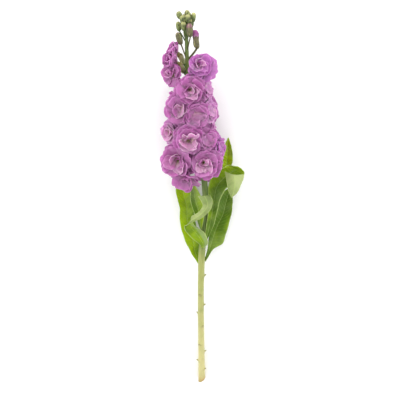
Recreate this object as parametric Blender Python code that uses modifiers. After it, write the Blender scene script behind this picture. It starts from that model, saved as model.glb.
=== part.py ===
"""Cut stem of double-flowered stock, lying on a table.

A green stem carries a loose spike of double, rosette-like blooms, a tuft of green buds at its tip and
six soft leaves below the blooms. The lower stem has been stripped and is cut at the bottom. The stem lies
on its lowest petals and on the heel of its cut end.

Frame: metres, +X across the stem, +Y along it towards the tip, +Z up from the table. Shapes are worked out
in stem millimetres: u across, v along from the cut end, w up from the stem's straight line.
"""

import math
import random

import bmesh
import bpy
from mathutils import Matrix, Vector

MM = 0.001
GAP = 0.3  # clearance between two pieces that touch

# Overall lie of the stem
STEM_LENGTH = 455.0  # to where the topmost buds begin
HEEL_HEIGHT = 4.7  # height of the stem's line over the table at the cut end
HEAD_HEIGHT = 30.0  # the same in the middle of the spike
HEAD_MIDDLE = 350.0
SLOPE = math.asin((HEAD_HEIGHT - HEEL_HEIGHT) / HEAD_MIDDLE)
ORIGIN_V = 231.55  # point of the stem's line that lies over the origin
ORIGIN_U = 4.15

# The stem's sway to the side and its radius, each as (v, value)
SWAY = (
    (0, 2.5), (130, 1.0), (200, 2.0), (270, 6.0), (300, 4.2),
    (341, -2.7), (388, -10.2), (420, -12.6), (455, -13.0),
)
RADIUS = (
    (0, 5.0), (14, 4.6), (60, 4.1), (165, 3.8), (200, 4.1),
    (260, 3.6), (330, 3.0), (400, 2.4), (440, 1.7), (455, 1.4),
)

# Where the stem has its rings, as v
STEM_STOPS = (
    0, 6, 14, 30, 60, 95, 130, 160, 190, 220, 245, 270, 300, 330, 360, 390, 405, 420, 435, 447, STEM_LENGTH,
)

# Petals and leaves
PETAL_THICK = 0.7
LEAF_THICK = 0.8
CLEAR_RADIUS = 12.5  # petals stay outside this distance from the stem's centre, where the stalks are
INWARD_REACH = 0.4  # and may reach this share of their bloom's radius towards it from the bloom's heart
SOFT = 0.75  # share of the way to a neighbour at which petals start to bend back
TABLE_SINK = 4.0  # a petal bent by the table would reach this far under it, and is flattened there
LAYER_STEP = 0.9  # height from one flattened petal layer to the next, the innermost being the lowest
HAIR = 0.25  # what lies this close to the table is set flat on it
CALYX_LENGTH = 10.0
CALYX_RADIUS = 3.0
CORE_HEIGHT = 8.0
CORE_RADIUS = 3.4
BLOOM_HEART = 5.0  # height of the heart of a bloom over its calyx
USUAL_RADIUS = 15.0  # of the bloom whose core and calyx have the sizes given here
STALK_DROP = 13.0  # a stalk leaves the stem this far below the heart of a bloom that faces straight out
STALK_RADIUS = 1.2
BUD_STALK_RADIUS = 0.7

# Blooms from the lowest up: heart of the bloom as (u, v, w), its radius, the way it faces round the stem
# from the upper side towards +u in degrees, its tilt towards the tip in degrees, the share it has opened
BLOOMS = (
    ((9, 304, -19), 16.0, 160, 0, 1.0),
    ((-13.5, 306, 14), 17.5, -22, -38, 1.0),
    ((-8, 317, -18), 16.5, -158, 5, 1.0),
    ((17, 319, -3), 14.0, 95, 5, 1.0),
    ((-19.5, 323.5, 17), 24.0, -24, 0, 1.0),
    ((6.5, 323.5, 23), 18.0, 4, 5, 1.0),
    ((-24, 329, -7), 16.0, -106, 5, 1.0),
    ((16.5, 334, 7), 16.5, 68, 5, 1.0),
    ((10, 335, -17), 17.0, 148, 8, 1.0),
    ((-10, 346.5, 24), 18.5, -6, -3, 1.0),
    ((5.5, 346, 19.5), 15.0, 28, 5, 1.0),
    ((-12, 350, -18), 17.5, -160, 8, 1.0),
    ((-31, 352, 8), 13.0, -55, 5, 1.0),
    ((9.5, 358, 3), 13.0, 78, 5, 1.0),
    ((6, 370, -16), 17.5, 148, 10, 1.0),
    ((7.5, 373, 12), 15.0, 55, 8, 1.0),
    ((-4, 371.5, 21), 16.5, 12, -5, 1.0),
    ((-17, 376, 19), 18.5, -15, 5, 1.0),
    ((-25, 379, -3), 16.0, -98, 10, 1.0),
    ((4, 393, 11), 13.5, 62, 12, 1.0),
    ((-8, 393, 22), 16.5, 5, 5, 1.0),
    ((-11, 389, -16), 17.0, -178, 14, 1.0),
    ((-27, 407, 8), 12.5, -38, 28, 1.0),
    ((3, 414, 15), 14.0, 15, 20, 1.0),
    ((-25.5, 418, 3), 11.5, -92, 38, 0.75),
    ((-25.5, 431, -2), 10.0, -98, 42, 0.55),
    ((-3.5, 443, 4), 8.0, -40, 80, 0.3),
)

# Petal layers of a bloom, outside in: petals, length and width as shares of the bloom's radius, distance of
# the claws from the middle of the heart and their height on it, elevation of the blade when open, droop
# towards its tip, cupping, columns of the grid
LAYERS = (
    (5, 1.04, 0.88, 2.3, 1.4, 4, 20, 0.12, 2),
    (4, 0.86, 0.82, 2.2, 3.6, 26, 14, 0.22, 2),
    (2, 0.64, 0.80, 1.1, 5.4, 58, 0, 0.40, 1),
)
SEED = 200
CLAW_RISE = 42  # a claw rises steeper than its blade by this at its foot, in degrees
UPRIGHT = 84  # elevation of every petal in a closed bud
SHUT_CURL = 60  # the petals of a closed bud curl in by this towards their tips
SHUT_WRAP = 0.3  # and their edges wrap round it by this share of their half width
PETAL_WAVE = (0.04, 0.09)  # height of a petal's wave as a share of its length, least and most
WIDEST = 0.74  # share of a petal's length at which it is widest
TIP_NARROWING = 0.30
TIP_ROUNDING = 0.14  # share of the length by which the corners at the tip fall back
PROFILE_STEPS = 16
SHUT_FEWER = (0.3, 1.3, 1.4)  # how fast the petals of each layer become fewer towards a bud

# Buds at the tip: v where the stalk leaves the stem, foot and tip of the bud as (u, v, w), radius of the bud
BUDS = (
    (420, (-18, 434.5, 2.5), (-21.5, 445, 3.5), 2.9),
    (428, (-9.3, 441, 6.5), (-10, 452.5, 8), 3.1),
    (428, (-13, 440, -6), (-14, 449, -8), 2.7),
    (436, (-19.5, 446.5, 0.5), (-21, 454.5, 0), 2.5),
    (438, (-15, 446.5, 5), (-15.6, 454, 7), 2.7),
    (440, (-9, 449, -3), (-8, 456.5, -5), 2.5),
    (442, (-16, 450, -4), (-17, 457.5, -6), 2.5),
    (446, (-7, 454, 1.5), (-5.7, 462, 2), 2.5),
    (446, (-15.5, 453, 4), (-16.5, 459.5, 5), 2.9),
    (448, (-18.2, 457, 0.5), (-20.5, 463, 1), 2.7),
    (448, (-11.8, 453.5, 4.5), (-11.2, 460, 6), 2.8),
    (450, (-12.3, 458, -2), (-12, 464.5, -2.5), 2.6),
)

# Stubs of the stripped leaves on the lower stem: v, turn
STUBS = (
    (22, 60), (36, -80), (50, 100), (66, -30), (81, 150), (97, 35), (113, -120),
    (129, 75), (146, -15), (160, -150), (172, 95),
)

# Leaves: v and turn of the foot on the stem, then stations up to the tip, each with the left edge, the rib
# and the right edge, as (u, v, w)
LEAVES = {
    "leaf_left": (
        (186, -150),
        ((-11, 201, -6), (-6, 199, -9), (0, 199, -8)),
        ((-19, 219, -8), (-9, 217, -11), (0, 217, -9)),
        ((-24, 240, -11), (-15, 239, -14), (-5, 238, -11)),
        ((-24, 257, -13), (-16, 256, -17), (-8, 258, -14)),
        ((-28, 275, -15), (-20, 275, -18), (-10, 276, -15)),
        ((-27, 287, -16), (-21, 287, -18), (-14, 288, -16)),
        ((-22, 294, -17), (-21, 295, -17), (-20, 294, -17)),
    ),
    "leaf_right": (
        (191, 118),
        ((9, 205, -5), (12, 206, -7), (17, 206, -6)),
        ((10, 215, -6), (16, 220, -9), (27, 212, -7)),
        ((12, 232, -7), (21, 235, -11), (32, 228, -8)),
        ((16, 248, -8), (27, 248, -12), (37, 250, -9)),
        ((21, 266, -9), (30, 262, -12), (38, 264, -9)),
        ((27, 278, -10), (33, 275, -12), (38, 274, -10)),
        ((36, 284, -11), (37, 284, -11), (38, 283, -11)),
    ),
    "leaf_cornet": (
        (221, 48),
        ((8, 241, 5), (11, 240, 2), (15, 239, 3)),
        ((10, 258, 5), (14, 257, 1), (19, 258, 4)),
        ((12, 274, 3), (17, 273, -2), (23, 275, 4)),
        ((13, 290, 1), (21, 288, -3), (29, 288, 5)),
        ((22, 300, 0), (30, 299, -4), (37, 294, 4)),
        ((30, 312, 2), (38, 310, -2), (49, 302, 3)),
        ((29, 311, 10), (39, 306, 9), (47, 302, 10)),
        ((29, 299, 16), (37, 296, 15), (44, 298, 16)),
        ((33, 282, 18), (34, 282, 18), (35, 282, 18)),
    ),
    "leaf_front": (
        (213, 12),
        ((-2, 223, 8), (3, 225, 9), (9, 223, 7)),
        ((-11, 231, 11), (-3, 238, 12), (8, 231, 8)),
        ((-17, 242, 14), (-8, 248, 15), (2, 243, 10)),
        ((-17, 252, 16), (-10, 258, 17), (1, 257, 12)),
        ((-14, 255, 13), (-5, 265, 18), (3, 261, 13)),
        ((-5, 261, 10), (1, 270, 17), (7, 262, 12)),
        ((-8, 269, 8), (4, 276, 16), (12, 269, 10)),
        ((-6, 277, 8), (1, 282, 16), (14, 277, 9)),
        ((-3, 284, 10), (-2, 287, 15), (12, 284, 9)),
    ),
    "leaf_inner": (
        (237, -50),
        ((-5, 255, 4), (-2, 256, 4.5), (0, 256, 5)),
        ((-9, 265, 3), (-4, 265, 3), (0, 266, 4)),
        ((-11, 275, 2), (-7, 275, 1), (-2, 275, 3)),
        ((-10, 282, 1), (-7, 283, 0), (-4, 284, 1)),
        ((-11, 291, 0), (-10, 292, -1), (-7, 291, 0)),
        ((-10, 296, -1), (-10, 297, -1), (-9, 296, -1)),
    ),
    "leaf_back": (
        (266, 140),
        ((20, 288, -16), (23, 287, -17), (27, 286, -16)),
        ((25, 303, -18), (30, 304, -19), (35, 304, -17)),
        ((26, 317, -18), (31, 317, -19), (37, 317, -16)),
        ((27, 330, -16), (31, 331, -17), (35, 330, -14)),
        ((30, 339, -13), (31, 341, -13), (32, 339, -13)),
    ),
}
LEAF_WAVE = 0.8  # height of the small waves of a leaf's edges
LEAF_WAVE_LENGTH = 14.0
LEAF_FOOT_WIDTH = 3.0


def smooth_through(table, at):
    """Value at a place along a table of (place, value), on a smooth curve through its points."""
    last = len(table) - 1
    at = min(max(at, table[0][0]), table[last][0])
    i = next(k for k in range(last) if at <= table[k + 1][0])
    (x1, y1), (x2, y2) = table[i], table[i + 1]
    before, after = table[max(i - 1, 0)], table[min(i + 2, last)]
    slope1 = (y2 - before[1]) / (x2 - before[0])
    slope2 = (after[1] - y1) / (after[0] - x1)
    span = x2 - x1
    t = (at - x1) / span
    rise = (2 * t**3 - 3 * t**2 + 1) * y1 + (3 * t**2 - 2 * t**3) * y2
    return rise + span * ((t**3 - 2 * t**2 + t) * slope1 + (t**3 - t**2) * slope2)


def place(u, v, w):
    """Point of the frame, in metres, for stem millimetres."""
    y = v * math.cos(SLOPE) - w * math.sin(SLOPE)
    z = v * math.sin(SLOPE) + w * math.cos(SLOPE)
    return Vector((u - ORIGIN_U, y - ORIGIN_V, z + HEEL_HEIGHT)) * MM


def heading(u, v, w):
    """Direction of the frame for a direction in stem axes."""
    y = v * math.cos(SLOPE) - w * math.sin(SLOPE)
    z = v * math.sin(SLOPE) + w * math.cos(SLOPE)
    return Vector((u, y, z)).normalized()


def beside_stem(v, turn, away):
    """Stem millimetres of a point at that distance from the stem's centre, turned round it from above."""
    angle = math.radians(turn)
    return smooth_through(SWAY, v) + away * math.sin(angle), v, away * math.cos(angle)


def stem_centre(point):
    """Point of the stem's centreline nearest a point of the frame, and the distance, in metres."""
    v = point.y / MM + ORIGIN_V
    for _ in range(2):
        centre = place(smooth_through(SWAY, v), v, 0)
        v += (point - centre).dot(heading(0, 1, 0)) / MM
    centre = place(smooth_through(SWAY, v), v, 0)
    return centre, (point - centre).length


def material(name, colour, roughness):
    made = bpy.data.materials.new(name)
    made.use_nodes = True
    shader = made.node_tree.nodes["Principled BSDF"]
    shader.inputs["Base Color"].default_value = (*colour, 1.0)
    shader.inputs["Roughness"].default_value = roughness
    return made


def collection(name):
    made = bpy.data.collections.new(name)
    bpy.context.scene.collection.children.link(made)
    return made


def applied(obj):
    """The object's mesh with its modifiers applied, as a new mesh."""
    bpy.context.view_layer.update()
    graph = bpy.context.evaluated_depsgraph_get()
    return bpy.data.meshes.new_from_object(obj.evaluated_get(graph))


def tube(name, points, radii, sides, group):
    """A solid rod through points in the frame, with a radius in millimetres at each point."""
    curve = bpy.data.curves.new(name, "CURVE")
    curve.dimensions = "3D"
    curve.bevel_depth = MM
    curve.bevel_resolution = sides // 2 - 2
    curve.use_fill_caps = True
    spline = curve.splines.new("POLY")
    spline.points.add(len(points) - 1)
    for knot, point, radius in zip(spline.points, points, radii):
        knot.co = (*point, 1.0)
        knot.radius = radius
    guide = bpy.data.objects.new(name, curve)
    group.objects.link(guide)
    mesh = applied(guide)
    bpy.data.objects.remove(guide)
    shape = bmesh.new()
    shape.from_mesh(mesh)
    bmesh.ops.remove_doubles(shape, verts=shape.verts, dist=1e-6)
    bmesh.ops.recalc_face_normals(shape, faces=shape.faces)
    shape.to_mesh(mesh)
    shape.free()
    made = bpy.data.objects.new(name, mesh)
    group.objects.link(made)
    return made


def keep_largest_piece(mesh):
    """Removes loose scraps that a union leaves behind."""
    shape = bmesh.new()
    shape.from_mesh(mesh)
    unseen = set(shape.faces)
    pieces = []
    while unseen:
        piece = []
        front = [unseen.pop()]
        while front:
            face = front.pop()
            piece.append(face)
            edges = [edge for edge in face.edges if len(edge.link_faces) == 2]
            fresh = {near for edge in edges for near in edge.link_faces} & unseen
            unseen -= fresh
            front.extend(fresh)
        pieces.append(piece)
    pieces.sort(key=len)
    for piece in pieces[:-1]:
        bmesh.ops.delete(shape, geom=piece, context="FACES")
    shape.to_mesh(mesh)
    shape.free()


def fuse(body, pieces):
    """Joins every object of the collection to the body, in one solid, and removes the collection."""
    union = body.modifiers.new("Join", "BOOLEAN")
    union.operation = "UNION"
    union.solver = "MANIFOLD"
    union.operand_type = "COLLECTION"
    union.collection = pieces
    mesh = applied(body)
    keep_largest_piece(mesh)
    body.modifiers.clear()
    body.data = mesh
    for obj in list(pieces.objects):
        bpy.data.objects.remove(obj)
    bpy.data.collections.remove(pieces)
    return body


def blade(name, columns, rows, thickness, surface, group):
    """A thin solid: a grid whose point (s across from -1 to 1, t along from 0 to 1) lies at surface(s, t)."""
    mesh = bpy.data.meshes.new(name)
    grid = bmesh.new()
    bmesh.ops.create_grid(grid, x_segments=columns, y_segments=rows, size=1.0)
    for vertex in grid.verts:
        vertex.co = surface(vertex.co.x, (vertex.co.y + 1) / 2)
    bmesh.ops.remove_doubles(grid, verts=grid.verts, dist=1e-5)
    bmesh.ops.triangulate(grid, faces=grid.faces, quad_method="FIXED")
    grid.to_mesh(mesh)
    grid.free()
    made = bpy.data.objects.new(name, mesh)
    group.objects.link(made)
    shell = made.modifiers.new("Thickness", "SOLIDIFY")
    shell.thickness = thickness * MM
    shell.offset = 0.0
    made.data = applied(made)
    made.modifiers.clear()
    return made


def rest_on_table(mesh, matrix):
    """Sets vertices that lie within a hair of the table flat on it."""
    back = matrix.inverted()
    for vertex in mesh.vertices:
        point = matrix @ vertex.co
        if point.z < HAIR * MM:
            point.z = 0.0
            vertex.co = back @ point


class Bloom:
    """Where a bloom sits and how it faces, in the frame."""

    def __init__(self, number, row):
        (u, self.v, w), self.radius, face, tilt, self.open = row
        self.name = f"bloom_{number:02d}"
        self.seed = SEED + number
        angle, lift = math.radians(face), math.radians(tilt)
        out = (math.sin(angle) * math.cos(lift), math.sin(lift), math.cos(angle) * math.cos(lift))
        self.rise = out[1]
        self.axis = heading(*out)
        self.heart = place(u, self.v, w)
        self.foot = self.heart - self.axis * BLOOM_HEART * MM
        side = heading(math.cos(angle), 0, -math.sin(angle))
        up = self.axis.cross(side).normalized()
        turned = Matrix((side, up, self.axis)).transposed().to_4x4()
        self.matrix = Matrix.Translation(self.foot + self.axis * GAP * MM) @ turned
        self.walls = []

    def calyx_points(self):
        return [self.foot - self.axis * CALYX_LENGTH * share * MM for share in (1.0, 0.5, 0.0)]


def find_walls(blooms):
    """Gives each bloom the planes it must stay behind, as (point, direction)."""
    for one in blooms:
        centre, away = stem_centre(one.heart)
        inward = (centre - one.heart).normalized()
        room = min(CLEAR_RADIUS * MM, away - INWARD_REACH * one.radius * MM)
        one.walls.append((centre - inward * room, inward))
        one.walls.append((Vector((0, 0, -TABLE_SINK * MM)), Vector((0, 0, -1))))
        for other in blooms:
            apart = other.heart - one.heart
            if other is one or apart.length > (one.radius + other.radius) * MM:
                continue
            share = one.radius / (one.radius + other.radius)
            one.walls.append((one.heart + apart * share, apart.normalized()))


def press_back(point, heart, walls, slack):
    """Bends a point that reaches past a wall back towards the heart, softly near the wall."""
    reach = 0.0
    for at, direction in walls:
        room = (at - heart).dot(direction) - slack * MM
        reach = max(reach, (point - heart).dot(direction) / room)
    if reach <= SOFT:
        return point
    kept = SOFT + (1 - SOFT) * math.tanh((reach - SOFT) / (1 - SOFT))
    return heart + (point - heart) * (kept / reach)


def petal_surface(turn, length, width, claw, lift, droop, cup, wrap, chance):
    """Middle surface of one petal in the bloom's own axes: narrow at its claw, broad and waved outside."""
    wave_start = chance.uniform(0, math.tau)
    wave_height = chance.uniform(*PETAL_WAVE) * length

    def along(t):
        radius, height = claw
        for k in range(PROFILE_STEPS):
            at = t * (k + 0.5) / PROFILE_STEPS
            angle = math.radians(lift - droop * at * at + CLAW_RISE * math.exp(-((at / 0.3) ** 2)))
            radius += math.cos(angle) * length * t / PROFILE_STEPS
            height += math.sin(angle) * length * t / PROFILE_STEPS
        return radius, height

    def surface(s, t):
        radius, height = along(t * (1 - TIP_ROUNDING * s * s * t))
        half = 0.5 * width * math.sin(min(t / WIDEST, 1.0) * math.pi / 2) ** 1.2
        half *= 1 - TIP_NARROWING * max(0.0, (t - WIDEST) / (1 - WIDEST)) ** 2
        across = s * half
        wave = wave_height * t * t * math.sin(wave_start + 2.4 * s + 3.0 * t) * (0.4 + 0.6 * abs(s))
        height += cup * half * s * s + wave
        radius -= wrap * half * s * s
        cosine, sine = math.cos(turn), math.sin(turn)
        return Vector((radius * cosine - across * sine, radius * sine + across * cosine, height)) * MM

    return surface


def bloom_core(bloom, group, colour):
    """The packed heart of the bloom: a five-sided turned bud that the petals are sunk into."""
    size = 0.75 + 0.25 * bloom.radius / USUAL_RADIUS
    height, radius = CORE_HEIGHT * size, CORE_RADIUS * size
    shoulder, belly, foot = (0.45 * radius, 0.92 * height), (radius, 0.55 * height), (0.8 * radius, 0)
    profile = ((0, height), shoulder, belly, foot, (0, 0))
    mesh = bpy.data.meshes.new(bloom.name)
    points = [(r * MM, 0, z * MM) for r, z in profile]
    mesh.from_pydata(points, [(i, i + 1) for i in range(len(points) - 1)], [])
    made = bpy.data.objects.new(bloom.name, mesh)
    group.objects.link(made)
    screw = made.modifiers.new("Turn", "SCREW")
    screw.steps = 5
    screw.render_steps = 5
    screw.use_merge_vertices = True
    screw.merge_threshold = 0.00001
    made.data = applied(made)
    made.modifiers.clear()
    made.data.materials.append(colour)
    return made


def make_bloom(bloom, group, colour):
    """A double bloom: layers of petals round a packed heart, pressed into the room that the bloom has."""
    chance = random.Random(bloom.seed)
    petals = collection(bloom.name + "_petals")
    slack = PETAL_THICK / 2 + GAP
    inverse = bloom.matrix.inverted()
    for number, (count, length, width, away, height, lift, droop, cup, columns) in enumerate(LAYERS):
        start = chance.uniform(0, math.tau)
        low = (PETAL_THICK / 2 + LAYER_STEP * (len(LAYERS) - 1 - number)) * MM
        shut = 1 - bloom.open
        lift += shut * (UPRIGHT - lift)
        droop -= shut * (droop + SHUT_CURL)
        count = round(count * (1 - shut * SHUT_FEWER[number]))
        for k in range(count):
            flat = petal_surface(
                start + (k + chance.uniform(-0.05, 0.05)) * math.tau / count,
                bloom.radius * length * chance.uniform(0.94, 1.06),
                bloom.radius * width,
                (away, height),
                lift + chance.uniform(-5, 5),
                droop,
                cup,
                shut * SHUT_WRAP,
                chance,
            )

            def pressed(s, t, flat=flat, low=low):
                point = press_back(bloom.matrix @ flat(s, t), bloom.heart, bloom.walls, slack)
                point.z = max(point.z, low)
                return inverse @ point

            petal = blade(f"{bloom.name}_petal_{number}_{k}", columns, 2, PETAL_THICK, pressed, petals)
            rest_on_table(petal.data, bloom.matrix)
    made = fuse(bloom_core(bloom, group, colour), petals)
    made.matrix_world = bloom.matrix
    return made


def make_stem(blooms, group, colour):
    """The stem with the stalk and calyx of each bloom, the green buds and the stubs of stripped leaves."""
    grown = collection("grown_from_stem")
    for bloom in blooms:
        low, belly, mouth = bloom.calyx_points()
        size = CALYX_RADIUS * (0.7 + 0.3 * bloom.radius / USUAL_RADIUS + 0.3 * (1 - bloom.open))
        foot_v = bloom.v - STALK_DROP * (1 + bloom.rise)
        start = place(smooth_through(SWAY, foot_v), foot_v, 0)
        radii = [STALK_RADIUS, 0.57 * size, size, 0.92 * size]
        tube(bloom.name + "_stalk", [start, low, belly, mouth], radii, 6, grown)
    for number, (leave, foot, tip, radius) in enumerate(BUDS):
        start = place(smooth_through(SWAY, leave), leave, 0)
        foot, tip = place(*foot), place(*tip)
        points = [start] + [foot.lerp(tip, share) for share in (0.0, 0.3, 0.7, 1.0)]
        radii = [BUD_STALK_RADIUS, 0.5 * radius, radius, 0.85 * radius, 0.3 * radius]
        tube(f"bud_{number}", points, radii, 6, grown)
    for number, (v, turn) in enumerate(STUBS):
        base = place(*beside_stem(v - 2, turn, 1.5))
        tip = place(*beside_stem(v + 3, turn, smooth_through(RADIUS, v) + 2.6))
        tube(f"stub_{number}", [base, base.lerp(tip, 0.6), tip], [1.8, 1.3, 0.4], 4, grown)
    centres = [place(smooth_through(SWAY, v), v, 0) for v in STEM_STOPS]
    radii = [smooth_through(RADIUS, v) for v in STEM_STOPS]
    body = tube("stem", centres, radii, 10, group)
    body.data.materials.append(colour)
    fuse(body, grown)
    rest_on_table(body.data, body.matrix_world)
    return body


def foot_station(v, turn):
    """The foot of a leaf: a short line round the stem, clear of it by the gap."""
    away = smooth_through(RADIUS, v) + GAP + LEAF_THICK / 2
    spread = math.degrees(LEAF_FOOT_WIDTH / 2 / away)
    if abs(turn) > 90:
        spread = -spread
    return tuple(beside_stem(v, turn + side * spread, away) for side in (-1, 0, 1))


def leaf_surface(foot, stations):
    """The middle surface of a leaf, on smooth curves through its stations, with its edges softly waved."""
    stations = (foot_station(*foot), *stations)
    last = len(stations) - 1
    length = sum((Vector(b[1]) - Vector(a[1])).length for a, b in zip(stations, stations[1:]))

    def line(which, t):
        rows = [[(k, station[which][i]) for k, station in enumerate(stations)] for i in range(3)]
        return Vector([smooth_through(row, t * last) for row in rows])

    def surface(s, t):
        left, rib, right = line(0, t), line(1, t), line(2, t)
        edge = left if s < 0 else right
        level = (left + right) / 2 - rib
        bend = abs(s) ** 1.4
        point = rib + (edge - rib - level) * abs(s) + level * bend
        wave = LEAF_WAVE * math.sin(math.tau * t * length / LEAF_WAVE_LENGTH + (1.9 if s < 0 else 0.0))
        point.z += wave * s * s * min(1.0, (right - left).length / 12.0)
        made = place(*point)
        made.z = max(made.z, LEAF_THICK / 2 * MM)
        return made

    return surface


def make_leaf(name, group, colour):
    foot, *stations = LEAVES[name]
    leaf = blade(name, 4, 9, LEAF_THICK, leaf_surface(foot, stations), group)
    rest_on_table(leaf.data, Matrix.Identity(4))
    leaf.data.materials.append(colour)
    return leaf


def main():
    for obj in list(bpy.data.objects):
        bpy.data.objects.remove(obj)
    parts = collection("stock_stem")
    mauve = material("petal_mauve", (0.50, 0.16, 0.45), 0.55)
    green = material("stem_green", (0.25, 0.32, 0.08), 0.5)
    leaf_green = material("leaf_green", (0.14, 0.24, 0.02), 0.5)
    blooms = [Bloom(number, row) for number, row in enumerate(BLOOMS, 1)]
    find_walls(blooms)
    for bloom in blooms:
        make_bloom(bloom, parts, mauve)
    make_stem(blooms, parts, green)
    for name in LEAVES:
        make_leaf(name, parts, leaf_green)


main()
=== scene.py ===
"""Cut stem of double stock, dressed: ruffled petals, veined leaves, buds and a fresh green stem.

Every shape is worked out in stem millimetres: u across the stem, v along it from the cut end, w up from its
straight line. The stem lies on a pale floor and is looked down on.
"""

import math
import random

import bmesh
import bpy
import numpy as np
from mathutils import Matrix, Vector


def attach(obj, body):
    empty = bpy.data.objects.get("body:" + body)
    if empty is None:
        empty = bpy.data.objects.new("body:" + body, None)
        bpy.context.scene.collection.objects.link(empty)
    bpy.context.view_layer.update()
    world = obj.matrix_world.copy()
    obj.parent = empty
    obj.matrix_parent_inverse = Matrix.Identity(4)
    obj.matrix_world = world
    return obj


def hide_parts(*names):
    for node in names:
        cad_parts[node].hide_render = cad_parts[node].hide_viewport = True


bl_info = {
    "name": "Cut Stock Stem",
    "version": (1, 0, 0),
    "blender": (4, 5, 0),
    "location": "View3D > Sidebar > Stock",
    "description": "Petals, leaves, buds and skin of a cut stem of double stock, and its stage",
    "category": "Object",
}

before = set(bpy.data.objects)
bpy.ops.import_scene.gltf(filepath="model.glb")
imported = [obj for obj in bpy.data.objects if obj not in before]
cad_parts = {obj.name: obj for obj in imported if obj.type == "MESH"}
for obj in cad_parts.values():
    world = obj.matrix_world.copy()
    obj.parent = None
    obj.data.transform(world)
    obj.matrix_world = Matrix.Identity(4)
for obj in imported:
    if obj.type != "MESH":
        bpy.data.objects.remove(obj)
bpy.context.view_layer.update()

MM = 0.001
ROOT = "root"
SAME_POINT = 1e-7  # metres within which two points of a piece are one
SEED = 200

# Lie of the stem
HEEL_HEIGHT = 4.7
HEAD_HEIGHT = 30.0
HEAD_MIDDLE = 350.0
SLOPE = math.asin((HEAD_HEIGHT - HEEL_HEIGHT) / HEAD_MIDDLE)
ORIGIN_V = 231.55
ORIGIN_U = 4.15
STEM_LENGTH = 455.0

# The stem's sway to the side and its radius, each as (v, value)
SWAY = (
    (0, 2.5), (130, 1.0), (200, 2.0), (270, 6.0), (300, 4.2),
    (341, -2.7), (388, -10.2), (420, -12.6), (455, -13.0),
)
RADIUS = (
    (0, 5.0), (14, 4.6), (60, 4.1), (165, 3.8), (200, 4.1),
    (260, 3.6), (330, 3.0), (400, 2.3), (440, 1.7), (455, 1.4),
)

# Blooms from the lowest up: heart (u, v, w), radius, the way it faces round the stem from the upper side
# towards +u in degrees, its tilt towards the tip in degrees and, unless it is open, the share it has opened
BLOOMS = (
    ((9, 304, -19), 16.0, 160, 0),
    ((-13.5, 306, 14), 17.5, -22, -38),
    ((-8, 317, -18), 16.5, -158, 5),
    ((17, 319, -3), 14.0, 95, 5),
    ((-19.5, 323.5, 17), 24.0, -24, 0),
    ((6.5, 323.5, 23), 18.0, 4, 5),
    ((-24, 329, -7), 16.0, -106, 5),
    ((16.5, 334, 7), 16.5, 68, 5),
    ((10, 335, -17), 17.0, 148, 8),
    ((-10, 346.5, 24), 18.5, -6, -3),
    ((5.5, 346, 19.5), 15.0, 28, 5),
    ((-12, 350, -18), 17.5, -160, 8),
    ((-30, 351.5, 9), 13.5, -40, 4),
    ((9.5, 358, 3), 13.0, 78, 5),
    ((6, 370, -16), 17.5, 148, 10),
    ((7.5, 373, 12), 15.0, 55, 8),
    ((-4, 371.5, 21), 16.5, 12, -5),
    ((-17, 376, 19), 18.5, -15, 5),
    ((-25, 379, -3), 16.0, -98, 10),
    ((4, 393, 11), 13.5, 62, 12),
    ((-8, 393, 22), 16.5, 5, 5),
    ((-11, 389, -16), 17.0, -178, 14),
    ((-27, 409, 8), 12.5, -34, 18),
    ((3, 414, 15), 14.0, 15, 20),
    ((-23.5, 418.5, 3), 15.0, -50, 24, 0.95),
    ((-23, 427.5, -1), 12.5, -54, 34, 0.90),
    ((-4.5, 446, 4), 8.5, -40, 80, 0.08),
)
BLOOM_HEART = 5.0  # height of the heart of a bloom over its calyx
USUAL_RADIUS = 15.0
STALK_DROP = 13.0  # how far below a bloom its stalk leaves the stem
STALK_RADIUS = 1.0
CALYX_LENGTH = 10.0
CALYX_RADIUS = 3.0
CALYX_LEAN = 0.8  # how much more steeply than its bloom a calyx stands, as a share of the way up the stem
CALYX_PROFILE = ((0.0, 0.42), (0.12, 0.80), (0.45, 1.0), (0.8, 0.92), (1.0, 1.02))
CALYX_GRID = (30, 24)
CALYX_DEPTH = 2.0  # how far the inside of the calyx reaches down
SEPAL_REACH = 1.9  # how far the tips of the sepals stand over the seams between them
SEPAL_PARTING = 0.6  # how far those seams are parted
SEPAL_INSIDE = 0.86  # radius of the inside at their tips, as a share
HEART_PROFILE = ((-3.0, 2.0), (0.0, 2.3), (2.5, 2.1), (4.5, 1.5), (5.6, 0.7), (5.9, 0.02))  # height, radius
HEART_SIDES = 12

# The petals' habit, from the outermost to the innermost: length and width as shares of the bloom's radius,
# distance of the claws from the middle and their height on the heart, elevation and droop in degrees,
# folding across in radians, ruffling, how far a petal twists in degrees
HABIT = (
    (1.06, 1.10, 1.6, 0.6, 0, 24, 0.25, 0.8, 3),
    (0.97, 1.00, 1.6, 1.8, 11, 22, 0.35, 0.9, 3),
    (0.84, 0.90, 1.4, 2.8, 28, 18, 0.50, 1.5, 16),
    (0.66, 0.74, 1.2, 3.8, 52, 8, 0.80, 2.0, 26),
    (0.44, 0.56, 0.6, 4.4, 78, -22, 1.40, 1.8, 14),
)
OUTER_PETALS = 10  # in two whorls of five; the others follow on a spiral
INNER_PETALS = 12
SPIRAL_TURN = 137.5
SECOND_WHORL = 0.25  # its depth in the bloom, from 0 outside to 1 in the middle
LOWER_SIDE_OPENS = 22  # degrees by which inner petals on the side of the cut end open wider
# How far petals vary: elevation and turn in degrees, length and width
LIFT_VARIES = 12
TURN_VARIES = 8
LENGTH_VARIES = (0.90, 1.10)
WIDTH_VARIES = (0.90, 1.12)

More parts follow.
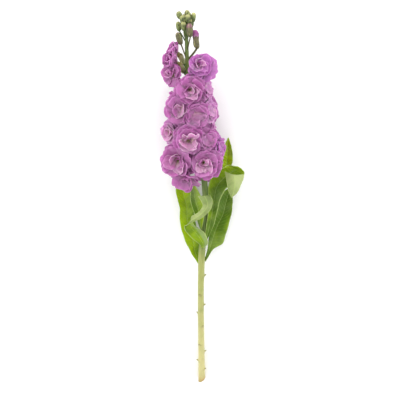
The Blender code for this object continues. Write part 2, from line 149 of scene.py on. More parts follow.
# The blade of a petal, in shares of its length and its half width: its grids, where it is widest, how far
# its sides end before its tip, the greatest depth of the notch there, the waves of its margin as (counts,
# how close to the margin, height), and those of the whole blade and across it
OUTER_GRID = (14, 14)
INNER_GRID = (14, 12)
PROFILE_STEPS = 41
WIDEST = 0.70
ROUNDING = 0.22
NOTCH = 0.08
NOTCH_WIDTH = 0.24
WAVES = (((3, 4, 5), 1, 0.045), ((7, 9), 2, 0.016))
SWAG = 0.06
CRIMP = 0.03
CRIMPS = (6, 9)
CLAW_WIDTH = 0.7
CLAW_LENGTH = 0.3
CLAW_RISE = 42  # degrees by which a petal leaves its claw more steeply
ROLL = (7, 12)  # degrees by which a petal is rolled to one side
UPRIGHT = 86

# How a shut bloom differs from an open one: petals curled in, wrapped, fewer, narrower and calmer, and their
# claws sunk into the calyx
SHUT_CURL = 55
SHUT_WRAP = 0.9
SHUT_FEWER = 0.55
SHUT_NARROWS = 0.22
SHUT_CALMS = 0.6
SHUT_SINK = 2.6

# Hearts that differ from the spiral. Each petal: the way it leaves the heart in degrees, from the bloom's
# right hand towards the tip of the stem, elevation and droop in degrees, length and width in percent of the
# radius, folding across, ruffling and paleness in percent and, where it lies over the middle, how far behind
# the middle it starts
RING = (
    (20, 27, 22, 88, 102, 40, 100, 15),
    (95, 30, 22, 86, 100, 40, 100, 10),
    (170, 27, 22, 88, 102, 40, 100, 10),
    (238, 25, 22, 90, 96, 40, 100, 20),
    (305, 25, 22, 90, 96, 40, 100, 20),
)
PLAIN = RING[:1] + RING[2:4] + (
    (60, 34, -8, 74, 110, 50, 140, 10),
    (300, 30, -6, 80, 110, 50, 140, 20),
    (185, 34, -10, 74, 110, 50, 140, 20),
    (115, 14, 14, 80, 95, 50, 120, 10, 5),
    (245, 20, 14, 86, 100, 50, 120, 30, 5),
    (5, 26, 10, 76, 90, 50, 120, 20, 4),
)
BALL = RING + (
    (105, 50, 2, 50, 50, 70, 140, 70),
    (180, 46, -4, 46, 80, 80, 120, 5),
    (262, 36, -16, 56, 105, 80, 100, 65),
    (335, 40, -16, 56, 95, 80, 100, 75),
    (85, 40, 60, 34, 42, -90, 40, 45, 3),
    (280, 36, 60, 40, 44, -90, 40, 60, 3),
)
FEW = (
    (10, 40, -26, 98, 140, 80, 70, 10),
    (82, 44, -26, 98, 140, 80, 70, 10),
    (154, 40, -26, 98, 140, 80, 70, 10),
    (226, 38, -26, 100, 140, 80, 70, 10),
    (298, 38, -26, 100, 140, 80, 70, 10),
    (45, 62, -40, 86, 120, 110, 70, 30),
    (165, 60, -40, 86, 120, 110, 70, 20),
    (285, 58, -40, 90, 120, 110, 70, 40),
)
HEARTS = {
    2: (
        (95, 16, 20, 100, 100, 40, 120, 0),
        (30, 20, 16, 105, 100, 40, 120, 0),
        (155, 20, 16, 105, 100, 40, 120, 0),
        (208, 32, 14, 122, 105, 40, 120, 10),
        (322, 12, 20, 125, 110, 30, 100, 10),
        (268, 44, 10, 120, 95, 50, 130, 10),
        (238, 50, 4, 95, 80, 50, 140, 20),
        (296, 50, 4, 100, 80, 50, 140, 20),
        (110, 60, -10, 60, 80, 80, 140, 20),
        (350, 64, -14, 50, 60, 100, 140, 40),
        (200, 66, -14, 46, 60, 100, 140, 40),
    ),
    5: RING + (
        (142, 54, -30, 56, 66, 100, 140, 75),
        (205, 46, 4, 76, 66, 50, 240, 40),
        (294, 34, 12, 84, 70, 60, 180, 80),
        (335, 40, 8, 66, 60, 60, 180, 25),
        (60, 58, -6, 50, 70, 90, 140, 10),
        (100, 76, -34, 34, 42, 140, 80, 30),
    ),
    6: RING + (
        (228, 34, 14, 80, 62, 70, 160, 95),
        (300, 34, 14, 86, 68, 60, 180, 85),
        (350, 42, 6, 66, 60, 70, 180, 55),
        (35, 60, 0, 62, 44, 80, 160, 100),
        (135, 56, -6, 52, 76, 80, 140, 15),
        (195, 54, 0, 52, 56, 80, 160, 45),
        (330, 66, -16, 50, 38, 120, 120, 100),
    ),
    10: RING + (
        (262, 48, 6, 66, 140, 120, 220, 85),
        (126, 44, 4, 76, 38, 40, 200, 95),
        (58, 42, 2, 106, 46, 50, 220, 95),
        (250, 32, 10, 84, 90, 60, 160, 75),
        (315, 42, 4, 84, 70, 60, 280, 85),
        (90, 62, -8, 46, 76, 90, 140, 5),
        (20, 74, -16, 28, 34, 140, 80, 45),
    ),
    13: RING + (
        (30, 34, -8, 80, 100, 60, 120, 55),
        (150, 32, -10, 84, 110, 60, 120, 75),
        (265, 32, -8, 84, 110, 60, 120, 60),
        (85, 50, -20, 62, 80, 100, 100, 50),
        (205, 48, -24, 60, 90, 100, 100, 80),
        (330, 56, -30, 56, 80, 110, 100, 60),
    ),
    17: RING + (
        (60, 36, -6, 74, 105, 50, 140, 15),
        (140, 34, -8, 74, 105, 50, 140, 10),
        (350, 30, 4, 78, 100, 50, 140, 20),
        (215, 26, 10, 80, 100, 40, 120, 15),
        (282, 14, 24, 95, 110, 20, 120, 40, 5),
    ),
    21: RING + (
        (296, 38, 2, 82, 90, 60, 160, 75),
        (345, 42, 4, 78, 70, 70, 160, 50),
        (248, 46, 4, 58, 70, 60, 140, 30),
        (325, 58, -10, 58, 48, 120, 120, 100),
        (35, 56, -6, 60, 60, 80, 140, 40),
        (105, 60, -6, 46, 80, 80, 140, 0),
        (180, 52, 4, 36, 60, 80, 140, 0),
    ),
    23: RING[:3] + (
        (250, 36, -22, 84, 110, 90, 120, 45),
        (320, 40, -22, 80, 100, 90, 120, 35),
        (205, 58, -18, 64, 60, 100, 140, 85),
        (30, 70, -50, 64, 80, 120, 80, 40),
        (130, 72, -36, 54, 66, 140, 100, 20),
    ),
    24: RING + (
        (160, 56, -20, 60, 70, 110, 160, 80),
        (85, 54, -10, 52, 84, 80, 160, 5),
        (345, 60, 0, 74, 40, 70, 180, 100),
        (235, 34, 4, 86, 86, 50, 180, 45),
        (305, 36, 4, 94, 90, 50, 180, 30),
        (20, 72, -26, 48, 54, 130, 100, 25),
    ),
}
HEARTS.update(dict.fromkeys((4, 8, 11, 14, 16, 20), PLAIN))
HEARTS.update({18: BALL, 25: FEW, 26: FEW})
ONLY_LISTED = (2, 25, 26)  # these blooms have no petals but those listed
LISTED_TWIST = 2.0  # degrees by which a listed petal may twist
OVER_HEART = 10.0  # height at which the claws of petals that lie over the middle start
LAYER = 0.3  # by how much each of them lies lower than the last
# How far the middle of a heart lies off the middle of its bloom, to its right and towards the tip, and the
# depths in the bloom from which petals start to follow it and from which they follow it wholly
HEART_SHIFT = {
    5: (-3.0, 1.5), 6: (-3.0, 0.0), 10: (-0.5, 0.5), 18: (-3.0, -0.5), 21: (-2.0, 2.0), 24: (-4.5, 3.0),
}
SHIFTED_FROM = (0.3, 0.65)
COOL = (4, 8, 13, 14, 16, 20, 24)  # blooms whose mauve is bluer
# How much paler, and how much deeper, a bloom is; for blooms 14, 16 and 20 at the right side of the head
# the pallor is painted light, standing in for the light they catch from behind
TONE_AND_PAINTED_LIGHT = {
    5: (0.0, 0.5), 13: (0.4, -0.4), 14: (0.3, 0.0), 16: (0.3, 0.0), 20: (0.3, 0.0), 24: (-0.1, 1.0),
    27: (-0.2, 0.8),
}

# How petals bend: where they stop before the stem, the share of the way to a wall from which they give, the
# share of the length lost to a neighbour by which they rise instead, and how far they may reach past the
# plane half-way to the next bloom
CLEAR_RADIUS = 12.5
INWARD_REACH = 0.4
SOFT = 0.72
CROWD_RISE = 0.45
OVERLAP = (0.2, 3.6)
# How petals lie on the table: how far below it their wall is, the heights over it to which the outermost and
# the innermost are pressed, over what height they give, and the height of the lowest
TABLE_SINK = 4.0
OVER_TABLE = (1.7, -0.3)
TABLE_GIVE = 1.5
LOWEST = 0.2

# Buds at the tip: v where the stalk leaves the stem, foot and tip as (u, v, w), radius, share that is purple
BUDS = (
    (420, (-18, 434.5, 2.5), (-21.5, 445, 3.5), 2.9, 0.12),
    (428, (-9.3, 441, 6.5), (-10, 452.5, 8), 3.1, 0.35),
    (428, (-13, 440, -6), (-14, 449, -8), 2.7, 0.0),
    (436, (-19.5, 446.5, 0.5), (-21, 454.5, 0), 2.5, 0.0),
    (438, (-15, 446.5, 5), (-15.6, 454, 7), 2.7, 0.0),
    (440, (-9, 449, -3), (-8, 456.5, -5), 2.5, 0.0),
    (442, (-16, 450, -4), (-17, 457.5, -6), 2.5, 0.0),
    (446, (-7, 454, 1.5), (-5.7, 462, 2), 2.5, 0.0),
    (446, (-15.5, 453, 4), (-16.5, 459.5, 5), 2.9, 0.0),
    (448, (-18.2, 457, 0.5), (-20.5, 463, 1), 2.7, 0.0),
    (448, (-11.8, 453.5, 4.5), (-11.2, 460, 6), 2.8, 0.0),
    (450, (-12.3, 458, -2), (-12, 464.5, -2.5), 2.6, 0.0),
    (448, (-13.6, 453.5, 2), (-14.2, 459, 4.5), 1.7, 0.0),
    (449, (-11, 453, 2.5), (-10.4, 458, 5.5), 1.6, 0.0),
    (446, (-9.5, 451, 1), (-8.4, 456.5, 3.5), 1.8, 0.0),
    (450, (-14.5, 456, -1), (-15.2, 461, 0), 1.7, 0.0),
    (450, (-10.5, 457, 0.5), (-9.6, 462, 1), 1.6, 0.0),
)
BUD_PROFILE = ((0.0, 0.30), (0.1, 0.66), (0.35, 0.96), (0.65, 1.0), (0.88, 0.78), (1.0, 0.34))
BUD_STALK_RADIUS = 0.65
BUD_PARTING = 3.2  # how far the tips of its sepals stand apart along the bud
BUD_GRID = (44, 32)
CAP_DEPTH = 0.6  # how far the petals inside lie below those tips

# Stubs of the stripped leaves on the lower stem as (v, turn), and the knots of a stub as how far up the stem
# and how far out of its skin
STUBS = (
    (22, 60), (36, -80), (50, 100), (66, -30), (81, 150), (97, 35), (113, -120),
    (129, 75), (146, -15), (160, -150), (172, 95),
)
STUB_KNOTS = ((-1.6, -1.5), (-0.2, 0.8), (1.4, 2.7))
STUB_PROFILE = ((0, 1.7), (0.5, 1.0), (0.9, 0.6), (1.0, 0.1))
STUB_GRID = (9, 10)
# The stem's skin: how far and over what length it swells under a stub, how far below the stub its scar lies
# and how long it is, and the ridges as (count, height, turn) up to where they end
STEM_GRID = (300, 28)
SWELL = 0.55
SWELL_LENGTH = 3.2
SCAR_DROP = 1.5
SCAR_LENGTH = 1.3
RIDGES = ((7, 0.0245, 0.0), (11, 0.014, 1.0))
RIDGES_END = 430
# The oblique cut: how far rings lean with it, as a share of the radius up the stem, the rings of its face as
# shares of the radius with how far they are hollowed, and how far up its stain reaches
CUT_LEAN = ((0, 0.7), (12, 0.0), (20, 0.0))
CUT_RINGS = ((0.0, 0.6), (0.35, 0.5), (0.93, 0.0))
STAIN_LENGTH = 4.0

# Leaves: v and turn of the foot, then stations up to the tip, each with the left edge, the rib and the right
# edge as (u, v, w)
LEAVES = {
    "leaf_left": (
        (186, -150),
        ((-11, 201, -6), (-6, 199, -9), (0, 199, -8)),
        ((-19, 219, -8), (-9, 217, -11), (0, 217, -9)),
        ((-24, 240, -11), (-15, 239, -14), (-5, 238, -11)),
        ((-24, 257, -13), (-16, 256, -17), (-8, 258, -14)),
        ((-28, 275, -15), (-20, 275, -18), (-10, 276, -15)),
        ((-27, 287, -16), (-21, 287, -18), (-14, 288, -16)),
        ((-22, 294, -17), (-21, 295, -17), (-20, 294, -17)),
    ),
    "leaf_right": (
        (191, 118),
        ((9, 205, -5), (12, 206, -7), (17, 206, -6)),
        ((10, 215, -6), (16, 220, -9), (27, 212, -7)),
        ((12, 232, -7), (21, 235, -11), (32, 228, -8)),
        ((16, 248, -8), (27, 248, -12), (37, 250, -9)),
        ((21, 266, -9), (30, 262, -12), (38, 264, -9)),
        ((27, 278, -10), (33, 275, -12), (38, 274, -10)),
        ((36, 284, -11), (37, 284, -11), (38, 283, -11)),
    ),
    "leaf_cornet": (
        (221, 48),
        ((7, 241, 5), (11, 240, 2), (15, 239, 3)),
        ((9, 257, 5), (14, 257, 1), (19, 257, 4)),
        ((10, 272, 3), (16, 272, -2), (22.5, 274, 4)),
        ((9, 287, 1), (19, 287, -3), (29, 288, 5)),
        ((13, 300, 0), (27, 298, -4), (37, 290, 5)),
        ((22, 308, -1), (35, 304, -5), (44.5, 295, 4)),
        ((31, 313, -1), (41, 308, -4), (48.5, 302, 2)),
        ((41, 312, 0), (45, 309.5, -1), (48.5, 306.5, 1)),
    ),
    "leaf_front": (
        (213, 12),
        ((-1, 221, 9), (3, 223, 10), (9, 221, 8)),
        ((-10.5, 231.5, 12), (-3, 234, 11), (8.5, 227, 8)),
        ((-16, 240, 15), (-8, 241, 12), (6, 234, 9)),
        ((-17.5, 247, 17), (-11, 247, 14.5), (2, 239, 10)),
        ((-15, 250, 19), (-13, 250.5, 17.5), (-6, 246, 12)),
        ((-7, 254.5, 20), (-9, 256, 19), (-10, 257, 15)),
        ((2, 259, 19), (-1.5, 261.5, 19.5), (-5, 262, 16)),
        ((9.5, 264.5, 16), (4, 266.5, 18.5), (0.5, 267, 16)),
        ((13.3, 272, 14), (8, 273, 18), (3, 272.5, 16.5)),
        ((13.4, 279, 14), (7, 279.5, 17.5), (0.8, 278.5, 16.5)),
        ((11, 283.4, 13), (4.5, 284, 16), (-2.4, 283.6, 15)),
    ),
    "leaf_inner": (
        (237, -50),
        ((-5, 254, 4), (-1, 256, 5), (5, 256, 7)),
        ((-9, 265, 3), (-3, 265, 3), (7, 266, 6)),
        ((-11, 275, 2), (-6, 275, 1), (3, 275, 4)),
        ((-10.5, 282, 1), (-7, 283, 0), (-2, 284, 2)),
        ((-11, 291, 0), (-10, 292, -1), (-6, 291, 0)),
        ((-10, 296, -1), (-10, 297, -1), (-9, 296, -1)),
    ),
    "leaf_back": (
        (266, 140),
        ((20, 288, -16), (23, 287, -17), (27, 286, -16)),
        ((25, 303, -18), (30, 304, -19), (35, 304, -17)),
        ((26, 317, -18), (31, 317, -19), (37, 317, -16)),
        ((27, 330, -16), (31, 331, -17), (35, 330, -14)),
        ((30, 339, -13), (31, 341, -13), (32, 339, -13)),
    ),
}
# The tip of the leaf at the right, folded forward over it to its point
LEAF_FLAP = (
    ((26.5, 309, 7), (36, 306.5, 12), (48, 304, 3)),
    ((27.5, 305, 10), (37, 302, 14.5), (47.5, 300, 5)),
    ((28.8, 298, 13), (37, 296, 16.5), (45, 294, 8)),
    ((30, 291, 15.5), (36, 290, 17.5), (42, 289, 12)),
    ((32, 286, 17), (35, 285.5, 18), (38.5, 285, 15)),
    ((34, 282.5, 17.5), (34.3, 282.4, 17.5), (34.6, 282.5, 17)),
)
LEAF_GRID = (28, 110)
LEAF_WAVE = 0.8
LEAF_WAVE_LENGTH = 14.0
LEAF_FOOT_WIDTH = 3.0
LEAF_CLEARANCE = 0.7
LEAF_LOWEST = 0.4
VEIN_SPACING = 4.2
VEIN_RISE = 0.10
RIB_DEPTH = 0.35
RIB_WIDTH = 2.2
# Painted light and shade of each leaf, from shaded deep green at 0 towards lit yellow-green: its value at
# the left and right margin and how much more lit it is towards its tip; then how pale its margins are
LEAF_LIGHT_AND_MARGIN = {
    "leaf_left": (1.0, 0.25, 0.1, 0.15),
    "leaf_right": (0.0, 0.3, 0.1, 0.25),
    "leaf_cornet": (0.4, 0.0, 0.8, 0.75),
    "leaf_front": (0.3, 0.5, 0.0, 0.85),
    "leaf_inner": (-0.15, 0.7, 0.0, 0.9),
    "leaf_back": (0.9, 1.2, 0.2, 0.2),
}
# The waxy band of the front leaf: from which share of its width, up to which share of its length, how waxy
WAX_FROM = 0.60
WAX_TO = 0.52
WAX_MOST = 0.9

# Patches of noise: scale, detail, the range of the noise that is eased, the least and the most it gives
PETAL_CLOUDS = (150.0, 3.0, 0.35, 0.7, 0.0, 0.3)
LEAF_PATCHES = (60.0, 4.0, 0.3, 0.7, -0.22, 0.22)
VEIN_WOBBLE = (120.0, 2.0, 0.0, 1.0, -0.35, 0.35)
WAX_AND_SHEEN_PATCHES = (34.0, 3.0, 0.46, 0.72, 0.0, 0.45)
STEM_PATCHES = (60.0, 3.0, 0.45, 0.75, 0.0, 0.3)
CUT_PATCHES = (400.0, 3.0, 0.25, 0.65, 0.5, 1.0)
BUD_PATCHES = (330.0, 3.0, 0.35, 0.6, 0.0, 1.0)
SEAM_WEAR = (240.0, 2.0, 0.4, 0.65, 0.05, 0.7)
# Where a colour starts and where it is full, then its least and its most: veins by the streaks' noise,
# margin and rim across a petal, throat and claw along it, the throat partly the petals' own pale base and
# partly painted light against the shade deep in the bloom, rib and margin of a leaf, streaks of the stem and
# the tips of the sepals
PETAL_VEINS = (0.48, 0.75, 0.0, 0.3)
PETAL_MARGIN = (0.55, 1.0, 0.0, 0.2)
PETAL_RIM = (0.65, 1.0, 0.0, 0.5)
THROAT_AND_PAINTED_LIGHT = (0.62, 0.2, 0.0, 0.7)
GREEN_THROAT = (0.55, 0.2, 0.0, 0.7)
CLAW = (0.26, 0.06, 0.0, 0.95)
LEAF_RIB = (1.0, 0.25, 0.0, 0.4)
LEAF_MARGIN = (0.86, 1.0)
STEM_STREAKS = (0.42, 0.75, 0.0, 0.4)
SEPAL_TIPS = (0.62, 0.98, 0.0, 0.8)
# Streaks of a petal across and along it, and of the stem round and along it; depth of relief in metres
PETAL_STREAKS = (7.0, 1.3, 20.0)
STEM_GRAIN = (5.0, 22.0)
FINE_RELIEF = 0.0002
GROOVE_RELIEF = 0.0003

# The camera looks down on the lying stem from the photograph's place
CAMERA_AT = (0.0, 428.0, 385.0)
CAMERA_TILT = math.radians(22.0)
SENSOR = 36.0
IMAGE_SIDE = 400
FOCAL_PIXELS = 366.0

# Lights: place in the frame, setting that holds the power
LIGHTS = (
    ("light_beyond", (-0.15, 1.0, 0.75), "key_power"),
    ("light_right", (0.95, 0.15, 0.45), "side_power"),
    ("light_left", (-0.95, 0.15, 0.45), "side_power"),
)
LIGHT_SIDE = 0.8
LIT_POINT = (0.0, 0.05, 0.0)


def display(red, green, blue):
    """Scene colour for a colour as a screen shows it, from 0 to 255."""
    return tuple(((part / 255 + 0.055) / 1.055) ** 2.4 if part > 10 else part / 255 / 12.92
                 for part in (red, green, blue))


def smooth_through(table, at):
    """Values at places along a table of (place, value), on a smooth curve through its points."""
    xs, ys = (np.array(column, float) for column in zip(*table))
    at = np.clip(at, xs[0], xs[-1])
    slopes = np.empty(len(xs))
    slopes[1:-1] = (ys[2:] - ys[:-2]) / (xs[2:] - xs[:-2])
    slopes[0] = (ys[1] - ys[0]) / (xs[1] - xs[0])
    slopes[-1] = (ys[-1] - ys[-2]) / (xs[-1] - xs[-2])
    i = np.clip(np.searchsorted(xs, at, side="right") - 1, 0, len(xs) - 2)
    span = xs[i + 1] - xs[i]
    t = (at - xs[i]) / span
    rise = (2 * t**3 - 3 * t**2 + 1) * ys[i] + (3 * t**2 - 2 * t**3) * ys[i + 1]
    return rise + span * ((t**3 - 2 * t**2 + t) * slopes[i] + (t**3 - t**2) * slopes[i + 1])


def smooth_points(places, points, at):
    """Points at places on a smooth curve through points whose places are known."""
    return np.stack([smooth_through(list(zip(places, column)), at) for column in np.transpose(points)], -1)


def smooth_line(knots, count):
    """Points on a smooth line through a few knots, and how far along it each one is, from 0 to 1."""
    knots = np.asarray(knots, float)
    lengths = np.concatenate(((0.0,), np.cumsum(np.linalg.norm(np.diff(knots, axis=0), axis=1))))
    at = np.linspace(0, lengths[-1], count)
    return smooth_points(lengths, knots, at), at / lengths[-1]


def turned(points):
    """Stem axes turned into the frame's, lengths kept."""
    u, v, w = np.moveaxis(np.asarray(points, float), -1, 0)
    y = v * math.cos(SLOPE) - w * math.sin(SLOPE)
    z = v * math.sin(SLOPE) + w * math.cos(SLOPE)
    return np.stack((u, y, z), -1)


def place(points):
    """Points of the frame, in metres, for stem millimetres."""
    return (turned(points) - (ORIGIN_U, ORIGIN_V, -HEEL_HEIGHT)) * MM


def unit(vectors):
    return vectors / np.linalg.norm(vectors, axis=-1, keepdims=True)


def beside_stem(v, turn=0.0, away=0.0):
    """Stem millimetres of a point at that distance from the stem's centre, turned round it from above."""
    angle = np.radians(turn)
    points = (smooth_through(SWAY, v) + away * np.sin(angle), v, away * np.cos(angle))
    return np.stack(np.broadcast_arrays(*points), -1)


def ring_angles(sides):
    return np.linspace(0, math.tau, sides, endpoint=False)


def spread(grid):
    """Places across a sheet, from -1 at its left edge to 1, and along it, from 0 at its foot to 1."""
    columns, rows = grid
    return np.linspace(-1, 1, columns + 1)[None, :], np.linspace(0, 1, rows + 1)[:, None]


def put(name, data):
    """A new object of the scene, made of a mesh, a light or a camera."""
    made = bpy.data.objects.new(name, data)
    bpy.context.scene.collection.objects.link(made)
    return made


class Sheets:
    """Collects grids of points into one mesh, with named values at every point."""

    def __init__(self):
        self.points = []
        self.faces = []
        self.values = {}
        self.count = 0

    def add(self, grid, closed=False, **values):
        rows, columns = grid.shape[:2]
        index = self.count + np.arange(rows * columns).reshape(rows, columns)
        if closed:
            index = np.concatenate((index, index[:, :1]), 1)
        corners = (index[:-1, :-1], index[:-1, 1:], index[1:, 1:], index[1:, :-1])
        self.faces.append(np.stack(corners, -1).reshape(-1, 4))
        self.points.append(grid.reshape(-1, 3))
        for name, value in values.items():
            flat = np.broadcast_to(value, (rows, columns)).astype(np.float32).ravel()
            self.values.setdefault(name, []).append(flat)
        self.count += rows * columns

    def piece(self, name, materials, slot, node):
        """The mesh as a piece of the stem that rides on it and stands for that node."""
        mesh = bpy.data.meshes.new(name)
        mesh.from_pydata(np.concatenate(self.points), [], np.concatenate(self.faces).tolist())
        for value_name, value in self.values.items():
            attribute = mesh.attributes.new(value_name, "FLOAT", "POINT")
            attribute.data.foreach_set("value", np.concatenate(value))
        shape = bmesh.new()
        shape.from_mesh(mesh)
        bmesh.ops.remove_doubles(shape, verts=shape.verts, dist=SAME_POINT)
        shape.to_mesh(mesh)
        shape.free()
        mesh.shade_smooth()
        for material in materials:
            mesh.materials.append(material)
        made = put(name, mesh)
        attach(made, ROOT)
        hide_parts(node)
        return made


def thicken(piece, thickness, under=0):
    """Gives a thin piece its thickness; its lower side takes the material that many slots further."""
    shell = piece.modifiers.new("Thickness", "SOLIDIFY")
    shell.thickness = thickness
    shell.offset = 0.0
    shell.material_offset = under


def frames_along(line):
    """Tangents and two crosswise directions at each point of a line, turning as little as they can."""
    tangent = unit(np.gradient(line, axis=0))
    side = np.empty_like(tangent)
    helper = np.array((1.0, 0.0, 0.0) if abs(tangent[0][0]) < 0.8 else (0.0, 0.0, 1.0))
    side[0] = unit(helper - tangent[0] * helper.dot(tangent[0]))
    for k in range(1, len(line)):
        side[k] = unit(side[k - 1] - tangent[k] * side[k - 1].dot(tangent[k]))
    return tangent, side, np.cross(tangent, side)


def rod_grid(line, radii, sides):
    """Rings round a line of frame points; radii in metres, one for each ring or for every point of them."""
    _, side, up = frames_along(line)
    angle = ring_angles(sides)[None, :, None]
    across = side[:, None] * np.cos(angle) + up[:, None] * np.sin(angle)
    return line[:, None] + across * np.reshape(radii, (len(line), -1, 1))


def stalk_and_head(knots, stalk_parts, count):
    """A smooth line through knots, and how far along it, and along what its stalk carries, each point is."""
    line, share = smooth_line(knots, count)
    lengths = np.linalg.norm(np.diff(knots, axis=0), axis=1)
    start = lengths[:stalk_parts].sum() / lengths.sum()
    return line, share[:, None], np.clip((share - start) / (1 - start), 0, 1)[:, None]


class Finish:
    """A material of one Principled shader, its colour laid on coat over coat.

    Its nodes take numbers, colours, other nodes' outputs and the names of values that the mesh holds.
    """

    def __init__(self, name, **sockets):
        self.material = bpy.data.materials.new(name)
        self.material.use_nodes = True
        self.nodes = self.material.node_tree.nodes
        self.links = self.material.node_tree.links
        self.shader = self.nodes["Principled BSDF"]
        self.held = {}
        self.colour = None
        for socket, value in sockets.items():
            self.shader.inputs[socket.replace("_", " ")].default_value = value

    def node(self, kind, output, sockets, **settings):
        made = self.nodes.new("ShaderNode" + kind)
        for setting, value in settings.items():
            setattr(made, setting, value)
        for socket, value in sockets.items():
            self.feed(made.inputs[socket], value)
        return made.outputs[output]

    def feed(self, socket, value):
        if isinstance(value, str):
            value = self.read(value)
        if isinstance(value, bpy.types.NodeSocket):
            self.links.new(value, socket)
        elif hasattr(value, "__len__"):
            socket.default_value = (*value, 1.0)
        else:
            socket.default_value = value

    def read(self, name):
        """A value that the mesh holds at each point."""
        if name not in self.held:
            self.held[name] = self.node("Attribute", "Fac", {}, attribute_name=name)
        return self.held[name]

    def calc(self, operation, first, second=0.0):
        return self.node("Math", 0, {0: first, 1: second}, operation=operation)

    def plus(self, first, second):
        return self.calc("ADD", first, second)

    def times(self, first, second):
        return self.calc("MULTIPLY", first, second)

    def ease(self, value, low=0.0, high=1.0, least=0.0, most=1.0):
        """A value eased from one range to another."""
        ends = {"From Min": low, "From Max": high, "To Min": least, "To Max": most}
        return self.node("MapRange", "Result", {"Value": value, **ends}, interpolation_type="SMOOTHSTEP")

    def blend(self, share, first, second):
        return self.node("Mix", 2, {0: share, 6: first, 7: second}, data_type="RGBA")

    def noise(self, scale, detail, at=None, roughness=0.5):
        """Noise in the object's own space, or at up to three values."""
        if at is None:
            vector = self.node("TexCoord", "Object", {})
        else:
            vector = self.node("CombineXYZ", 0, dict(enumerate(at)))
        sockets = {"Vector": vector, "Scale": scale, "Detail": detail, "Roughness": roughness}
        return self.node("TexNoise", "Fac", sockets)

    def patches(self, scale, detail, *ends):
        return self.ease(self.noise(scale, detail), *ends)

    def cover(self, share, colour):
        """Lays a colour over what is there so far, by that share."""
        self.colour = self.blend(share, self.colour, colour)

    def done(self, height, depth, strength):
        """The material, with its colour and its relief on the shader."""
        self.feed(self.shader.inputs["Base Color"], self.colour)
        bump = self.node("Bump", "Normal", {"Strength": strength, "Distance": depth, "Height": height})
        self.feed(self.shader.inputs["Normal"], bump)
        return self.material


def petal_finish(look):
    """Velvety mauve with fine veins, pinker on pale petals; their margins nearly white, paler towards their
    feet partly as painted light, the claws green.
    """
    finish = Finish(
        "petal_mauve",
        Roughness=0.6,
        Sheen_Weight=0.12,
        Sheen_Roughness=0.5,
        Specular_IOR_Level=0.3,
        Subsurface_Weight=0.6,
        Subsurface_Radius=(1.0, 0.5, 0.9),
        Subsurface_Scale=0.003,
    )
    finish.colour = finish.blend("tint", look.blade, look.blade_deep)
    finish.cover(finish.ease("cool", most=0.6), look.blade_cool)
    finish.cover(finish.ease("pale", most=0.9), look.heart)
    finish.cover(finish.patches(*PETAL_CLOUDS), look.margin)
    streak_at = [finish.times(*pair) for pair in zip(("across", "along", "tint"), PETAL_STREAKS)]
    streak = finish.noise(1.0, 3.0, streak_at)
    finish.cover(finish.ease(streak, *PETAL_VEINS), look.vein)
    finish.cover(finish.ease("edge", *PETAL_MARGIN), look.margin)
    finish.cover(finish.times(finish.ease("edge", *PETAL_RIM), finish.ease("pale", 0.15, 0.95)), look.rim)
    # Paler towards each petal's foot: partly its own pale base, partly painted light that offsets the shade
    # deep in the bloom
    finish.cover(finish.ease("along", *THROAT_AND_PAINTED_LIGHT), look.throat_and_painted_light)
    green = finish.times(finish.ease("along", *GREEN_THROAT), finish.ease("pale", 0.2, 0.7))
    finish.cover(green, look.throat_green)
    finish.cover(finish.ease("along", *CLAW), look.claw)
    return finish.done(streak, FINE_RELIEF, 0.4)


def leaf_finish(name, look, deep, light, lift, veins):
    """Soft green painted from shaded deep to lit light by its light value, with a pale rib, fine side veins,
    lighter patches between them and a waxy grey bloom that is partly painted highlight.
    """
    finish = Finish(
        name,
        Roughness=0.5,
        Specular_IOR_Level=0.2,
        Subsurface_Weight=0.12,
        Subsurface_Radius=(0.5, 1.0, 0.2),
        Subsurface_Scale=0.0015,
    )
    # Painted light and shade: the mesh's light value, its patches and the lift choose between deep and light
    # green
    shade = finish.plus(finish.plus("light", finish.patches(*LEAF_PATCHES)), lift)
    finish.colour = finish.blend(finish.ease(shade), deep, light)
    run = finish.plus("run", finish.patches(*VEIN_WOBBLE))
    crest = finish.calc("COSINE", finish.times(run, math.tau))
    finish.cover(finish.times(finish.ease(crest, 0.90, 1.0, most=veins), "fade"), look.leaf_rib)
    # Grey-green waxy bloom, partly the leaves' own wax and partly painted highlight: pale patches standing
    # for their greyish sheen
    finish.cover(finish.calc("MAXIMUM", finish.patches(*WAX_AND_SHEEN_PATCHES), "waxed"), look.leaf_wax_and_sheen)
    finish.cover(finish.ease(finish.calc("ABSOLUTE", "aside"), *LEAF_RIB), look.leaf_rib)
    finish.cover(finish.times(finish.ease("edge", *LEAF_MARGIN), "margin"), look.leaf_rib)
    return finish.done(finish.plus(finish.noise(900.0, 3.0), crest), FINE_RELIEF, 0.4)


def stem_finish(look):
    """Green at the tip, pale and straw-coloured towards the cut end, finely streaked along its length."""
    finish = Finish(
        "stem_skin",
        Roughness=0.45,
        Subsurface_Weight=0.15,
        Subsurface_Radius=(0.6, 1.0, 0.3),
        Subsurface_Scale=0.002,
    )
    finish.colour = finish.blend(finish.ease("along", 0.0, 0.45), look.stem_foot, look.stem_middle)
    finish.cover(finish.ease("along", 0.42, 0.50), look.stem_tip)
    streak_at = [finish.times(*pair) for pair in zip(("around", "along"), STEM_GRAIN)]
    streak = finish.noise(1.0, 4.0, streak_at, 0.6)
    finish.cover(finish.ease(streak, *STEM_STREAKS), look.stem_foot)
    finish.cover(finish.patches(*STEM_PATCHES), look.stem_tip)
    finish.cover(finish.times("scar", 0.6), look.scar)
    finish.cover(finish.times("cut", finish.patches(*CUT_PATCHES)), look.cut)
    return finish.done(streak, GROOVE_RELIEF, 0.5)


